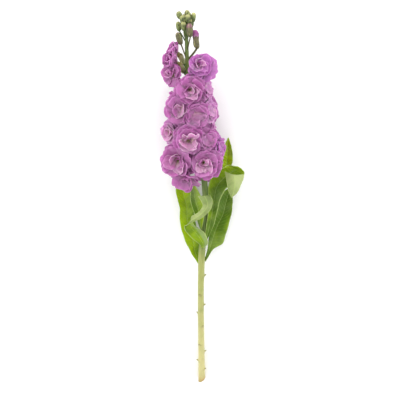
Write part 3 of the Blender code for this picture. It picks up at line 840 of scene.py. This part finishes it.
def bud_finish(look):
    """Grey-green sepals with cream margins, downy, turning brown and mauve where the bud opens."""
    finish = Finish("bud_green", Roughness=0.6, Sheen_Weight=0.15, Sheen_Roughness=0.4)
    finish.colour = finish.blend(finish.patches(*BUD_PATCHES), look.bud, look.bud_dark)
    finish.cover(finish.ease("pale", most=0.7), look.calyx)
    finish.cover(finish.ease("along", 0.3, 0.0), look.stem_tip)
    finish.cover(finish.ease("brown", most=0.75), look.bud_brown)
    finish.cover(finish.ease("purple"), look.bud_tip)
    seams = finish.times(finish.ease("seam", 0.55, 0.9), finish.patches(*SEAM_WEAR))
    tips = finish.times(finish.ease("along", *SEPAL_TIPS), "ripe")
    finish.cover(finish.calc("MAXIMUM", seams, tips), look.bud_margin)
    return finish.done(finish.noise(1500.0, 2.0), FINE_RELIEF, 0.5)


class Bloom:
    """Where a bloom sits, how it faces and the walls it stays behind, in frame metres."""

    def __init__(self, number, row):
        heart, radius, face, tilt, *opened = row
        self.number = number
        self.name = f"bloom_{number:02d}"
        self.shut = 1 - opened[0] if opened else 0.0
        self.size = radius
        self.radius = radius * MM
        self.v = heart[1]
        angle, lift = math.radians(face), math.radians(tilt)
        out = (math.sin(angle) * math.cos(lift), math.sin(lift), math.cos(angle) * math.cos(lift))
        self.rise = out[1]
        self.axis = turned(out)
        self.side = turned((math.cos(angle), 0, -math.sin(angle)))
        self.up = np.cross(self.axis, self.side)
        self.heart = place(heart)
        self.foot = self.heart - self.axis * BLOOM_HEART * MM
        self.walls = []

    def in_frame(self, points):
        """Frame metres for millimetres in the bloom's own axes, from its foot."""
        return self.foot + (points @ np.stack((self.side, self.up, self.axis))) * MM

    def calyx_line(self):
        """Knots of the stalk and the calyx, from inside the stem to the bloom's foot."""
        start = place(beside_stem(self.v - STALK_DROP * (1 + self.rise)))
        calyx = unit(self.axis + turned((0, CALYX_LEAN, 0))) * CALYX_LENGTH * MM
        return np.stack((start, self.foot - calyx, self.foot - calyx * 0.5, self.foot))

    def press_back(self, points, low, slack):
        """Bends points that reach past a wall back to the heart and up, and sets them on the table."""
        ray = points - self.heart
        reach = np.zeros(ray.shape[:-1])
        crowd = np.zeros(ray.shape[:-1])
        for at, direction, crowding in self.walls:
            room = (at - self.heart).dot(direction) + slack * crowding * MM
            share = ray @ direction / room
            crowd = np.where(share > reach, crowding, crowd)
            reach = np.maximum(reach, share)
        kept = SOFT + (1 - SOFT) * np.tanh((reach - SOFT) / (1 - SOFT))
        factor = np.where(reach > SOFT, kept / np.maximum(reach, 1e-6), 1.0)
        lost = np.linalg.norm(ray, axis=-1) * (1 - factor) * crowd
        lift = self.axis * (1.0, 1.0, 1.0 if self.axis[2] > 0 else 0.0)
        pressed = self.heart + ray * factor[..., None] + lift * (lost * CROWD_RISE)[..., None]
        height, give = pressed[..., 2], TABLE_GIVE * MM
        squeezed = low + give * np.exp((height - low - give) / give)
        height = np.where(height < low + give, squeezed, height)
        pressed[..., 2] = np.maximum(height, LOWEST * MM)
        return pressed


def spike():
    return [Bloom(number, row) for number, row in enumerate(BLOOMS, 1)]


def find_walls(blooms):
    """Gives each bloom its walls as (point, direction, 1 where petals crowd up against it)."""
    for one in blooms:
        centre = place(beside_stem(one.v))
        inward = centre - one.heart
        away = np.linalg.norm(inward)
        inward = inward / away
        room = min(CLEAR_RADIUS * MM, away - INWARD_REACH * one.radius)
        one.walls.append((centre - inward * room, inward, 0.0))
        one.walls.append((np.array((0, 0, -TABLE_SINK * MM)), np.array((0, 0, -1.0)), 0.0))
        for other in blooms:
            apart = other.heart - one.heart
            gap = np.linalg.norm(apart)
            if other is one or gap > one.radius + other.radius:
                continue
            share = one.radius / (one.radius + other.radius)
            one.walls.append((one.heart + apart * share, apart / gap, 1.0))


def run_up(slope):
    """How far a petal's profile has come at each of its steps, for its slope there."""
    return np.concatenate(((0.0,), np.cumsum((slope[1:] + slope[:-1]) / 2))) / (PROFILE_STEPS - 1)


def petal_grid(bloom, depth, habit, ruffling, chance):
    """A petal that leaves the heart along +x: its points in millimetres and its shading values."""
    length, width, claw_away, claw_height, lift, droop, fold, ruffle, twist = habit
    shut = bloom.shut
    length *= bloom.size * chance.uniform(*LENGTH_VARIES)
    width *= bloom.size * chance.uniform(*WIDTH_VARIES) * (1 - SHUT_NARROWS * shut)
    claw_height -= shut * (claw_height + SHUT_SINK)
    claw_rise = CLAW_RISE * (1 - 1.4 * shut) * min(1.0, 1.4 - lift / 80)
    lift += shut * (UPRIGHT - lift)
    droop -= shut * (droop + SHUT_CURL)
    fold += shut * SHUT_WRAP
    ruffle *= ruffling * length * (1 - SHUT_CALMS * shut)
    s, t = spread(OUTER_GRID if depth < 0.3 else INNER_GRID)
    steps = np.linspace(0, 1, PROFILE_STEPS)
    angle = np.radians(lift - droop * steps**2 + claw_rise * np.exp(-((steps / CLAW_LENGTH) ** 2)))
    notch = chance.uniform(0.0, NOTCH) * np.exp(-((s / NOTCH_WIDTH) ** 2)) * t**8
    reach = np.clip(t - ROUNDING * s**2 * t**2 - notch, 0, 1)
    away = claw_away + length * np.interp(reach, steps, run_up(np.cos(angle)))
    height = claw_height + length * np.interp(reach, steps, run_up(np.sin(angle)))
    lean = np.interp(reach, steps, angle)
    half = 0.5 * width * np.sin(np.minimum(t / WIDEST, 1.0) * math.pi / 2) ** 1.1
    half = half * (1 - 0.30 * np.maximum(0.0, (t - WIDEST) / (1 - WIDEST)) ** 2) + CLAW_WIDTH / 2
    across = half * np.sin(fold * s) / fold
    edge = 1 - (1 - np.abs(s) ** 3) * (1 - t**4)
    around = np.arctan2(s, (t - 0.45) * 1.6)
    wave = 0.0
    for counts, hem, size in WAVES:
        turns = chance.choice(counts)
        wave = wave + np.sin(turns * around + chance.uniform(0, math.tau)) * edge**hem * size
    wave = wave + np.sin(2.2 * s + 3.0 * t + chance.uniform(0, math.tau)) * t**2 * SWAG
    crimps = chance.uniform(*CRIMPS)
    wave = wave + np.sin(crimps * s + chance.uniform(0, math.tau)) * t * (1.15 - t) * CRIMP
    bend = half * (1 - np.cos(fold * s)) / fold + ruffle * wave
    roll = math.radians(chance.uniform(*ROLL) + chance.uniform(-twist, twist))
    bend = bend + math.tan(roll) * across * t
    points = np.broadcast_arrays(away - np.sin(lean) * bend, across, height + np.cos(lean) * bend)
    return np.stack(points, -1), {"along": t, "across": s, "edge": edge}


def make_heart(bloom, sheets):
    """The receptacle in the middle, which carries the petals."""
    height, radius = (np.array(column)[:, None] for column in zip(*HEART_PROFILE))
    angle = ring_angles(HEART_SIDES)
    rings = np.stack(np.broadcast_arrays(radius * np.cos(angle), radius * np.sin(angle), height), -1)
    plain = dict.fromkeys(("along", "across", "edge", "pale", "cool"), 0.0)
    sheets.add(bloom.in_frame(rings), closed=True, tint=0.5, **plain)


def usual_petal(depth, turn, pale, chance):
    """A petal of the bloom's habit at that depth; towards the cut end it opens wider."""
    places = np.linspace(0, 1, len(HABIT))
    habit = [float(np.interp(depth, places, column)) for column in zip(*HABIT)]
    lower = LOWER_SIDE_OPENS * math.sin(math.radians(turn))
    habit[4] += (lower + chance.uniform(-LIFT_VARIES, LIFT_VARIES)) * min(1.0, depth * 1.2)
    return depth, turn, habit, pale


def petals_of(bloom, chance):
    """Every petal of a bloom, the outer ones first: its depth in the bloom, turn, habit and paleness."""
    fewer = 1 - SHUT_FEWER * bloom.shut
    start = chance.uniform(0, 360)
    outer = round(OUTER_PETALS * fewer)
    found = []
    for k in range(outer if bloom.number not in ONLY_LISTED else 0):
        depth = 0.0 if k < outer / 2 else SECOND_WHORL
        found.append(usual_petal(depth, start + (k + depth * 2) * 720 / outer, 0.0, chance))
    listed = HEARTS.get(bloom.number, ())
    for turn, lift, droop, *percents in listed:
        length, width, fold, ruffle, pale = (percent / 100 for percent in percents[:5])
        behind = percents[5:]
        depth = min(1.0, SECOND_WHORL + lift / 90)
        claw = (1.1, 1.8 + 2.4 * depth)
        if behind:
            claw = (-behind[0], OVER_HEART - LAYER * len(found))
        habit = (length, width, *claw, lift, droop, fold, ruffle, LISTED_TWIST)
        found.append((depth, turn, habit, pale))
    inner = 0 if listed else round(INNER_PETALS * fewer)
    for k in range(1, inner + 1):
        depth = SECOND_WHORL + (1 - SECOND_WHORL) * k / inner
        found.append(usual_petal(depth, start + k * SPIRAL_TURN, 1.1 * (depth - 0.3), chance))
    return found


def make_bloom(bloom, finish, settings):
    """A double bloom of ruffled petals, outer whorls round its heart, bent among its neighbours."""
    chance = random.Random(SEED + bloom.number)
    sheets = Sheets()
    # A bloom's paleness, which is painted light for the blooms at the right side of the head
    paler, deeper = TONE_AND_PAINTED_LIGHT.get(bloom.number, (0.0, 0.0))
    middle = np.array(HEART_SHIFT.get(bloom.number, (0.0, 0.0)))
    make_heart(bloom, sheets)
    for depth, turn, habit, pale in petals_of(bloom, chance):
        turn = math.radians(turn + chance.uniform(-TURN_VARIES, TURN_VARIES))
        points, values = petal_grid(bloom, depth, habit, settings.ruffle, chance)
        x, y, z = np.moveaxis(points, -1, 0)
        x, y = x * math.cos(turn) - y * math.sin(turn), x * math.sin(turn) + y * math.cos(turn)
        aside, ahead = np.interp(depth, SHIFTED_FROM, (0.0, 1.0)) * middle
        spun = np.stack((x + aside, y + ahead, z), -1)
        low = np.interp(depth, (0, 1), OVER_TABLE) * MM
        sheets.add(
            bloom.press_back(bloom.in_frame(spun), low, chance.uniform(*OVERLAP)),
            **values,
            pale=pale + paler,
            tint=chance.random() + deeper,
            cool=float(bloom.number in COOL),
        )
    piece = sheets.piece(f"{bloom.name}_petals", [finish], "petal", bloom.name)
    thicken(piece, settings.petal_thickness)


def foot_station(v, turn):
    """The foot of a leaf: a short line round the stem, clear of it."""
    away = float(smooth_through(RADIUS, v)) + LEAF_CLEARANCE
    half = math.degrees(LEAF_FOOT_WIDTH / 2 / away) * (-1 if abs(turn) > 90 else 1)
    return [beside_stem(v, turn + side * half, away) for side in (-1, 0, 1)]


def leaf_grid(stations):
    """Points of a leaf on smooth curves through its stations, its veins raised, and its shading values."""
    stations = np.array(stations, float)
    s, t = spread(LEAF_GRID)
    places = np.arange(len(stations))
    at = t[:, 0] * places[-1]
    left, rib, right = (smooth_points(places, stations[:, which], at)[:, None] for which in range(3))
    length = np.linalg.norm(np.diff(stations[:, 1], axis=0), axis=1).sum()
    out = np.abs(s)
    edge = np.where((s < 0)[..., None], left, right)
    level = (left + right) / 2 - rib
    points = rib + (edge - rib - level) * out[..., None] + level * out[..., None] ** 1.4
    breadth = np.linalg.norm(right - left, axis=-1)
    wave = LEAF_WAVE * np.sin(math.tau * t * length / LEAF_WAVE_LENGTH + np.where(s < 0, 1.9, 0.0))
    points[..., 2] += wave * s**2 * np.minimum(1.0, breadth / 12.0)
    grid = place(points)
    normal = unit(np.cross(np.gradient(grid, axis=1), np.gradient(grid, axis=0)) + 1e-12)
    run = t * length - out * breadth * 0.42
    fade = np.minimum(1.0, breadth / 10.0) * np.sin(math.pi * np.clip(t, 0, 1)) ** 0.5
    relief = VEIN_RISE * np.cos(math.tau * run / VEIN_SPACING) * fade
    relief = relief - RIB_DEPTH * np.exp(-((s * breadth / RIB_WIDTH) ** 2)) * fade
    grid = grid + normal * relief[..., None] * MM
    grid[..., 2] = np.maximum(grid[..., 2], LEAF_LOWEST * MM)
    return grid, {"run": run / VEIN_SPACING, "aside": s * breadth, "edge": out, "fade": fade}


def make_leaf(name, materials, thickness):
    """One leaf blade with its rib and side veins; the leaf at the right also has its folded tip."""
    foot, *stations = LEAVES[name]
    left, right, tip, margin = LEAF_LIGHT_AND_MARGIN[name]
    s, along = spread(LEAF_GRID)
    share = (s + 1) / 2
    # The leaf's painted light and shade, across it and towards its tip
    light = left + (right - left) * share + tip * along**4
    waxed = 0.0
    if name == "leaf_front":
        waxed = WAX_MOST * np.clip((share - WAX_FROM) * 6, 0, 1) * np.clip((WAX_TO - along) * 12, 0, 1)
    sheets = Sheets()
    grid, values = leaf_grid((foot_station(*foot), *stations))
    sheets.add(grid, light=light, margin=margin, waxed=waxed, **values)
    if name == "leaf_cornet":
        grid, values = leaf_grid(LEAF_FLAP)
        # The folded tip's painted light and shade: darker at its left, lighter at its right
        sheets.add(grid, light=0.4 + 0.3 * share, margin=margin, waxed=0.0, **values)
    piece = sheets.piece(f"{name}_blade", materials, "leaf", name)
    thicken(piece, thickness, under=1)


def make_stem():
    """The main stem: faint ridges, swellings where leaves were stripped, an oblique cut end."""
    rings, sides = STEM_GRID
    v = np.linspace(0, STEM_LENGTH + 3, rings)
    line = place(beside_stem(v))
    radius = smooth_through(RADIUS, v)[:, None]
    angle = ring_angles(sides)
    tangent, side, up = frames_along(line)
    swell = np.zeros((rings, sides))
    scar = np.zeros((rings, sides))
    for stub_v, turn in STUBS:
        out = turned((math.sin(math.radians(turn)), 0, math.cos(math.radians(turn))))
        facing = np.clip(side @ out[:, None] * np.cos(angle) + up @ out[:, None] * np.sin(angle), 0, 1)
        past = v[:, None] - stub_v
        swell += SWELL * np.exp(-((past / SWELL_LENGTH) ** 2)) * facing**2
        scar += np.exp(-(((past + SCAR_DROP) / SCAR_LENGTH) ** 2)) * facing**3
    ridges = sum(height * np.cos(count * angle + turn) for count, height, turn in RIDGES)
    radii = radius * (1 + ridges * (v[:, None] < RIDGES_END)) + swell
    grid = rod_grid(line, radii * MM, sides)
    lean = smooth_through(CUT_LEAN, v)[:, None] * side[:, :1] * np.cos(angle) * radius * MM
    grid = grid + tangent[:, None] * lean[..., None]
    grid[..., 2] = np.maximum(grid[..., 2], 0.0)
    foot, tip = (np.broadcast_to(line[end], (1, sides, 3)) for end in (0, -1))
    face = [grid[:1] * share + foot * (1 - share) + tangent[0] * hollow * MM for share, hollow in CUT_RINGS]
    stain = np.minimum(1.0, 1.7 * np.exp(-v / STAIN_LENGTH))
    sheets = Sheets()
    sheets.add(
        np.concatenate((*face, grid, tip)),
        closed=True,
        along=np.concatenate(((0, 0, 0), v / STEM_LENGTH, (1,)))[:, None],
        around=np.cos(angle)[None, :],
        scar=np.pad(np.clip(scar, 0, 1), ((3, 1), (0, 0))),
        cut=np.concatenate(((1, 1, 1), stain, (0,)))[:, None],
    )
    return sheets


def make_stubs(sheets):
    """Short torn stubs of the stripped leaves."""
    count, sides = STUB_GRID
    for v, turn in STUBS:
        radius = float(smooth_through(RADIUS, v))
        knots = [beside_stem(v + ahead, turn, radius + out) for ahead, out in STUB_KNOTS]
        line, share = smooth_line(place(knots), count)
        grid = rod_grid(line, np.interp(share, *zip(*STUB_PROFILE)) * MM, sides)
        torn = 1.5 * share[:, None] ** 1.5
        sheets.add(grid, closed=True, along=v / STEM_LENGTH, around=0.5, scar=torn, cut=0.0)


def make_calyxes(blooms, finish):
    """The stalk and calyx of each bloom: four upright sepals with pale margins, parted at their tips."""
    sheets = Sheets()
    count, sides = CALYX_GRID
    lobe = np.abs(np.cos(2 * ring_angles(sides)))[None, :]
    for bloom in blooms:
        line, share, h = stalk_and_head(bloom.calyx_line(), 1, count)
        size = CALYX_RADIUS * (0.7 + 0.3 * bloom.size / USUAL_RADIUS + 0.15 * bloom.shut)
        shape = smooth_through(CALYX_PROFILE, h) * size * (0.93 + 0.07 * lobe)
        stalk = STALK_RADIUS * (1 + 0.25 * share**4)
        grid = rod_grid(line, np.where(h > 0, np.maximum(shape, stalk), stalk) * MM, sides)
        tips = grid[-1] + bloom.axis * (SEPAL_REACH * lobe[0][:, None] - SEPAL_PARTING) * MM
        inside = line[-1] + (tips - line[-1]) * SEPAL_INSIDE
        bottom = np.broadcast_to(line[-1] - bloom.axis * CALYX_DEPTH * MM, tips.shape)
        seam = (1 - lobe) ** 2 * np.clip(h * 4, 0, 1)
        grown = float(bloom.shut < 0.5)
        sheets.add(
            np.concatenate((grid, tips[None], inside[None], bottom[None])),
            closed=True,
            along=np.concatenate((h, ((1.0,), (1.0,), (0.5,)))),
            seam=np.concatenate((seam, (1 - lobe * 0.5) * ((1.0,), (0.8,), (0.2,)))),
            purple=np.concatenate((0.30 * h**2, ((0.35,), (0.3,), (0.0,)))),
            ripe=0.4 * grown,
            pale=grown,
            brown=1 - grown,
        )
    return sheets.piece("calyxes", [finish], "stem", "stem")


def make_buds(finish):
    """The green buds at the tip, four sepals each with pouched feet and parted tips, on thin stalks."""
    sheets = Sheets()
    chance = random.Random(SEED)
    count, sides = BUD_GRID
    angle = ring_angles(sides)
    for leave, foot, tip, radius, purple in BUDS:
        start, foot, tip = place(beside_stem(leave)), place(foot), place(tip)
        knots = (start, foot * 0.75 + start * 0.25, foot, foot * 0.5 + tip * 0.5, tip)
        line, _, h = stalk_and_head(knots, 2, count)
        lobe = np.abs(np.cos(2 * (angle + chance.uniform(0, 1.5))))[None, :]
        ridge = 0.88 + 0.13 * lobe**0.6 + 0.05 * np.cos(2 * angle + chance.uniform(0, 6))[None, :]
        shape = smooth_through(BUD_PROFILE, h) * radius * ridge
        radii = np.where(h > 0, np.maximum(shape, 0.3 * BUD_STALK_RADIUS), BUD_STALK_RADIUS)
        reach = unit(tip - foot) * MM
        parting = BUD_PARTING * np.maximum(0, h - 0.7) * (lobe - 0.5)
        grid = rod_grid(line, radii * MM, sides) + reach * parting[..., None]
        cap = np.broadcast_to(line[-1] - reach * CAP_DEPTH, (1, sides, 3))
        seam = (1 - lobe) ** 1.6 * np.clip(h * 5, 0, 1) + 0.5 * np.clip(h * 8 - 7, 0, 1)
        sheets.add(
            np.concatenate((grid, cap)),
            closed=True,
            along=np.concatenate((h, ((1.0,),))),
            seam=np.concatenate((seam, np.full((1, sides), 0.3))),
            purple=np.concatenate((np.clip((h - 1 + purple) * 6, 0, 1), ((float(purple > 0),),))),
            ripe=0.0 if purple else chance.uniform(0.3, 1.0),
            brown=0.9 if purple else chance.uniform(0.0, 0.5),
        )
    return sheets.piece("buds", [finish], "stem", "stem")


LENGTH = {"subtype": "DISTANCE", "unit": "LENGTH"}


def number(name, default, description, low=0.0, **more):
    """A number that a user can change."""
    return bpy.props.FloatProperty(name=name, description=description, default=default, min=low, **more)


def paint(name, red, green, blue, description):
    """A colour that a user can change, its default as a screen shows it."""
    return bpy.props.FloatVectorProperty(
        name=name, description=description, default=display(red, green, blue), subtype="COLOR",
    )


class StockPetals(bpy.types.PropertyGroup):
    """Petals of the blooms."""

    petal_thickness: number("Petal Thickness", 0.0003, "Thickness of a petal", 0.0001, **LENGTH)
    ruffle: number("Ruffle", 1.0, "How strongly the margins of the petals are waved", max=3.0)
    blade: paint("Blade", 165, 95, 151, "Colour of a light petal")
    blade_deep: paint("Deep Blade", 144, 74, 128, "Colour of a deep petal")
    blade_cool: paint("Cool Blade", 170, 99, 175, "Colour of the petals of the bluer blooms")
    heart: paint("Heart", 194, 138, 170, "Colour of the innermost petals")
    margin: paint("Margin", 206, 142, 194, "Colour of the petals' margins")
    vein: paint("Vein", 140, 60, 126, "Colour of the petals' veins")
    rim: paint("Rim", 230, 190, 214, "Colour of the inner petals' margins")
    # Partly the petals' pale base and partly painted light against the shade in the bloom
    throat_and_painted_light: paint("Throat", 204, 136, 180, "Colour of a petal towards its foot")
    throat_green: paint("Green Throat", 176, 166, 118, "Colour of an inner petal towards its foot")
    claw: paint("Claw", 128, 120, 52, "Colour of a petal at its foot")


class StockGreens(bpy.types.PropertyGroup):
    """Leaves, stem and buds."""

    leaf_thickness: number("Leaf Thickness", 0.0005, "Thickness of a leaf blade", 0.0001, **LENGTH)
    leaf_deep: paint("Deep Leaf", 76, 108, 4, "Colour of a shaded leaf")
    leaf_light: paint("Light Leaf", 154, 182, 2, "Colour of a sunlit leaf")
    leaf_rib: paint("Leaf Rib", 172, 190, 112, "Colour of the ribs and margins")
    # Partly the leaves' own waxy bloom and partly painted highlight
    leaf_wax_and_sheen: paint("Leaf Wax", 132, 152, 92, "Waxy bloom on the leaves")
    under_deep: paint("Deep Underside", 92, 114, 50, "Shaded underside of a leaf")
    under_light: paint("Light Underside", 158, 170, 108, "Light underside of a leaf")
    stem_tip: paint("Stem Tip", 78, 106, 30, "Stem among the blooms")
    stem_middle: paint("Stem Middle", 150, 156, 84, "Stem below the leaves")
    stem_foot: paint("Stem Foot", 200, 192, 132, "Stem above the cut end")
    scar: paint("Scar", 122, 116, 64, "Scars of stripped leaves")
    cut: paint("Cut End", 172, 138, 72, "Cut end of the stem")
    bud: paint("Bud", 130, 144, 78, "Sepals of the buds")
    bud_dark: paint("Dark Bud", 60, 74, 32, "Dark patches of the sepals")
    calyx: paint("Calyx", 166, 168, 120, "Calyxes behind the open blooms")
    bud_brown: paint("Brown Bud", 84, 74, 50, "Sepals of the oldest buds")
    bud_margin: paint("Bud Margin", 216, 210, 140, "Margins of the sepals")
    bud_tip: paint("Bud Tip", 126, 84, 96, "Petals that show at a bud's tip")


class StockStage(bpy.types.PropertyGroup):
    """Floor and lights."""

    floor_colour: bpy.props.FloatVectorProperty(
        name="Floor", description="Colour of the floor", default=(0.92, 0.92, 0.92), subtype="COLOR",
    )
    floor_side: number("Floor Side", 8.0, "Side of the floor", **LENGTH)
    key_power: number("Key Power", 5.0, "Power of the large light beyond the tip", unit="POWER")
    side_power: number("Side Power", 4.5, "Power of the lights to the right and the left", unit="POWER")
    sky_strength: number("Sky Strength", 1.0, "Strength of the even light from all round")


class STOCK_OT_stem(bpy.types.Operator):
    """Makes the stem with the stubs of its stripped leaves"""

    bl_idname = "stock.stem"
    bl_label = "Stem"

    def execute(self, context):
        sheets = make_stem()
        make_stubs(sheets)
        sheets.piece("stem_skin", [stem_finish(context.scene.stock_greens)], "stem", "stem")
        return {"FINISHED"}


class STOCK_OT_buds(bpy.types.Operator):
    """Makes the buds at the tip, and the stalks and calyxes of the blooms"""

    bl_idname = "stock.buds"
    bl_label = "Buds and Calyxes"

    def execute(self, context):
        finish = bud_finish(context.scene.stock_greens)
        make_calyxes(spike(), finish)
        make_buds(finish)
        return {"FINISHED"}


class STOCK_OT_leaves(bpy.types.Operator):
    """Makes the six leaves with their ribs and veins"""

    bl_idname = "stock.leaves"
    bl_label = "Leaves"

    def execute(self, context):
        look = context.scene.stock_greens
        upper = leaf_finish("leaf_upper", look, look.leaf_deep, look.leaf_light, lift=0.0, veins=0.14)
        under = leaf_finish("leaf_under", look, look.under_deep, look.under_light, lift=0.2, veins=0.2)
        for name in LEAVES:
            make_leaf(name, [upper, under], look.leaf_thickness)
        return {"FINISHED"}


class STOCK_OT_blooms(bpy.types.Operator):
    """Makes every bloom of the spike, petal by petal"""

    bl_idname = "stock.blooms"
    bl_label = "Blooms"

    def execute(self, context):
        settings = context.scene.stock_petals
        finish = petal_finish(settings)
        blooms = spike()
        find_walls(blooms)
        for bloom in blooms:
            make_bloom(bloom, finish, settings)
        return {"FINISHED"}


def looking(at, forward, up):
    """Placement of a camera or light that looks forward from a point."""
    back = -Vector(forward).normalized()
    side = Vector(up).cross(back).normalized()
    return Matrix.Translation(at) @ Matrix((side, back.cross(side), back)).transposed().to_4x4()


def make_floor(settings):
    bpy.ops.mesh.primitive_plane_add(size=settings.floor_side, location=(0, 0, 0))
    floor = bpy.context.active_object
    floor.name = "floor"
    paper = Finish("floor_paper", Base_Color=(*settings.floor_colour, 1.0), Roughness=0.9)
    floor.data.materials.append(paper.material)


def make_lights(settings):
    """Three large lights, and an even light from all round."""
    for name, at, power in LIGHTS:
        lamp = bpy.data.lights.new(name, "AREA")
        lamp.shape = "SQUARE"
        lamp.size = LIGHT_SIDE
        lamp.energy = getattr(settings, power)
        put(name, lamp).matrix_world = looking(at, Vector(LIT_POINT) - Vector(at), (0.0, 1.0, 0.01))
    world = bpy.data.worlds.new("studio")
    bpy.context.scene.world = world
    world.use_nodes = True
    sky = world.node_tree.nodes["Background"]
    sky.inputs["Color"].default_value = (1, 1, 1, 1)
    sky.inputs["Strength"].default_value = settings.sky_strength


def make_camera():
    lens = bpy.data.cameras.new("camera")
    lens.sensor_width = SENSOR
    lens.lens = FOCAL_PIXELS / IMAGE_SIDE * SENSOR
    camera = put("camera", lens)
    forward = turned((0, -math.sin(CAMERA_TILT), -math.cos(CAMERA_TILT)))
    up = turned((0, math.cos(CAMERA_TILT), -math.sin(CAMERA_TILT)))
    camera.matrix_world = looking(Vector(place(CAMERA_AT)), forward, up)
    bpy.context.scene.camera = camera
    bpy.context.scene.view_settings.view_transform = "Standard"


class STOCK_OT_stage(bpy.types.Operator):
    """Makes the floor, the lights and the camera"""

    bl_idname = "stock.stage"
    bl_label = "Stage"

    def execute(self, context):
        make_floor(context.scene.stock_stage)
        make_lights(context.scene.stock_stage)
        make_camera()
        return {"FINISHED"}


GROUPS = {"stock_petals": StockPetals, "stock_greens": StockGreens, "stock_stage": StockStage}
STEPS = (STOCK_OT_stem, STOCK_OT_buds, STOCK_OT_leaves, STOCK_OT_blooms, STOCK_OT_stage)


class STOCK_PT_panel(bpy.types.Panel):
    """Lists the steps that make the stem, and its settings."""

    bl_label = "Cut Stock Stem"
    bl_idname = "STOCK_PT_panel"
    bl_space_type = "VIEW_3D"
    bl_region_type = "UI"
    bl_category = "Stock"

    def draw(self, context):
        for step in STEPS:
            self.layout.operator(step.bl_idname)
        for group, kind in GROUPS.items():
            box = self.layout.box()
            for name in kind.__annotations__:
                box.prop(getattr(context.scene, group), name)


CLASSES = (*GROUPS.values(), *STEPS, STOCK_PT_panel)


def register():
    for entry in CLASSES:
        bpy.utils.register_class(entry)
    for name, group in GROUPS.items():
        setattr(bpy.types.Scene, name, bpy.props.PointerProperty(type=group))


def unregister():
    for name in GROUPS:
        delattr(bpy.types.Scene, name)
    for entry in reversed(CLASSES):
        bpy.utils.unregister_class(entry)


def main():
    register()
    bpy.ops.stock.stem()
    bpy.ops.stock.buds()
    bpy.ops.stock.leaves()
    bpy.ops.stock.blooms()
    bpy.ops.stock.stage()


if __name__ == "__main__":
    main()
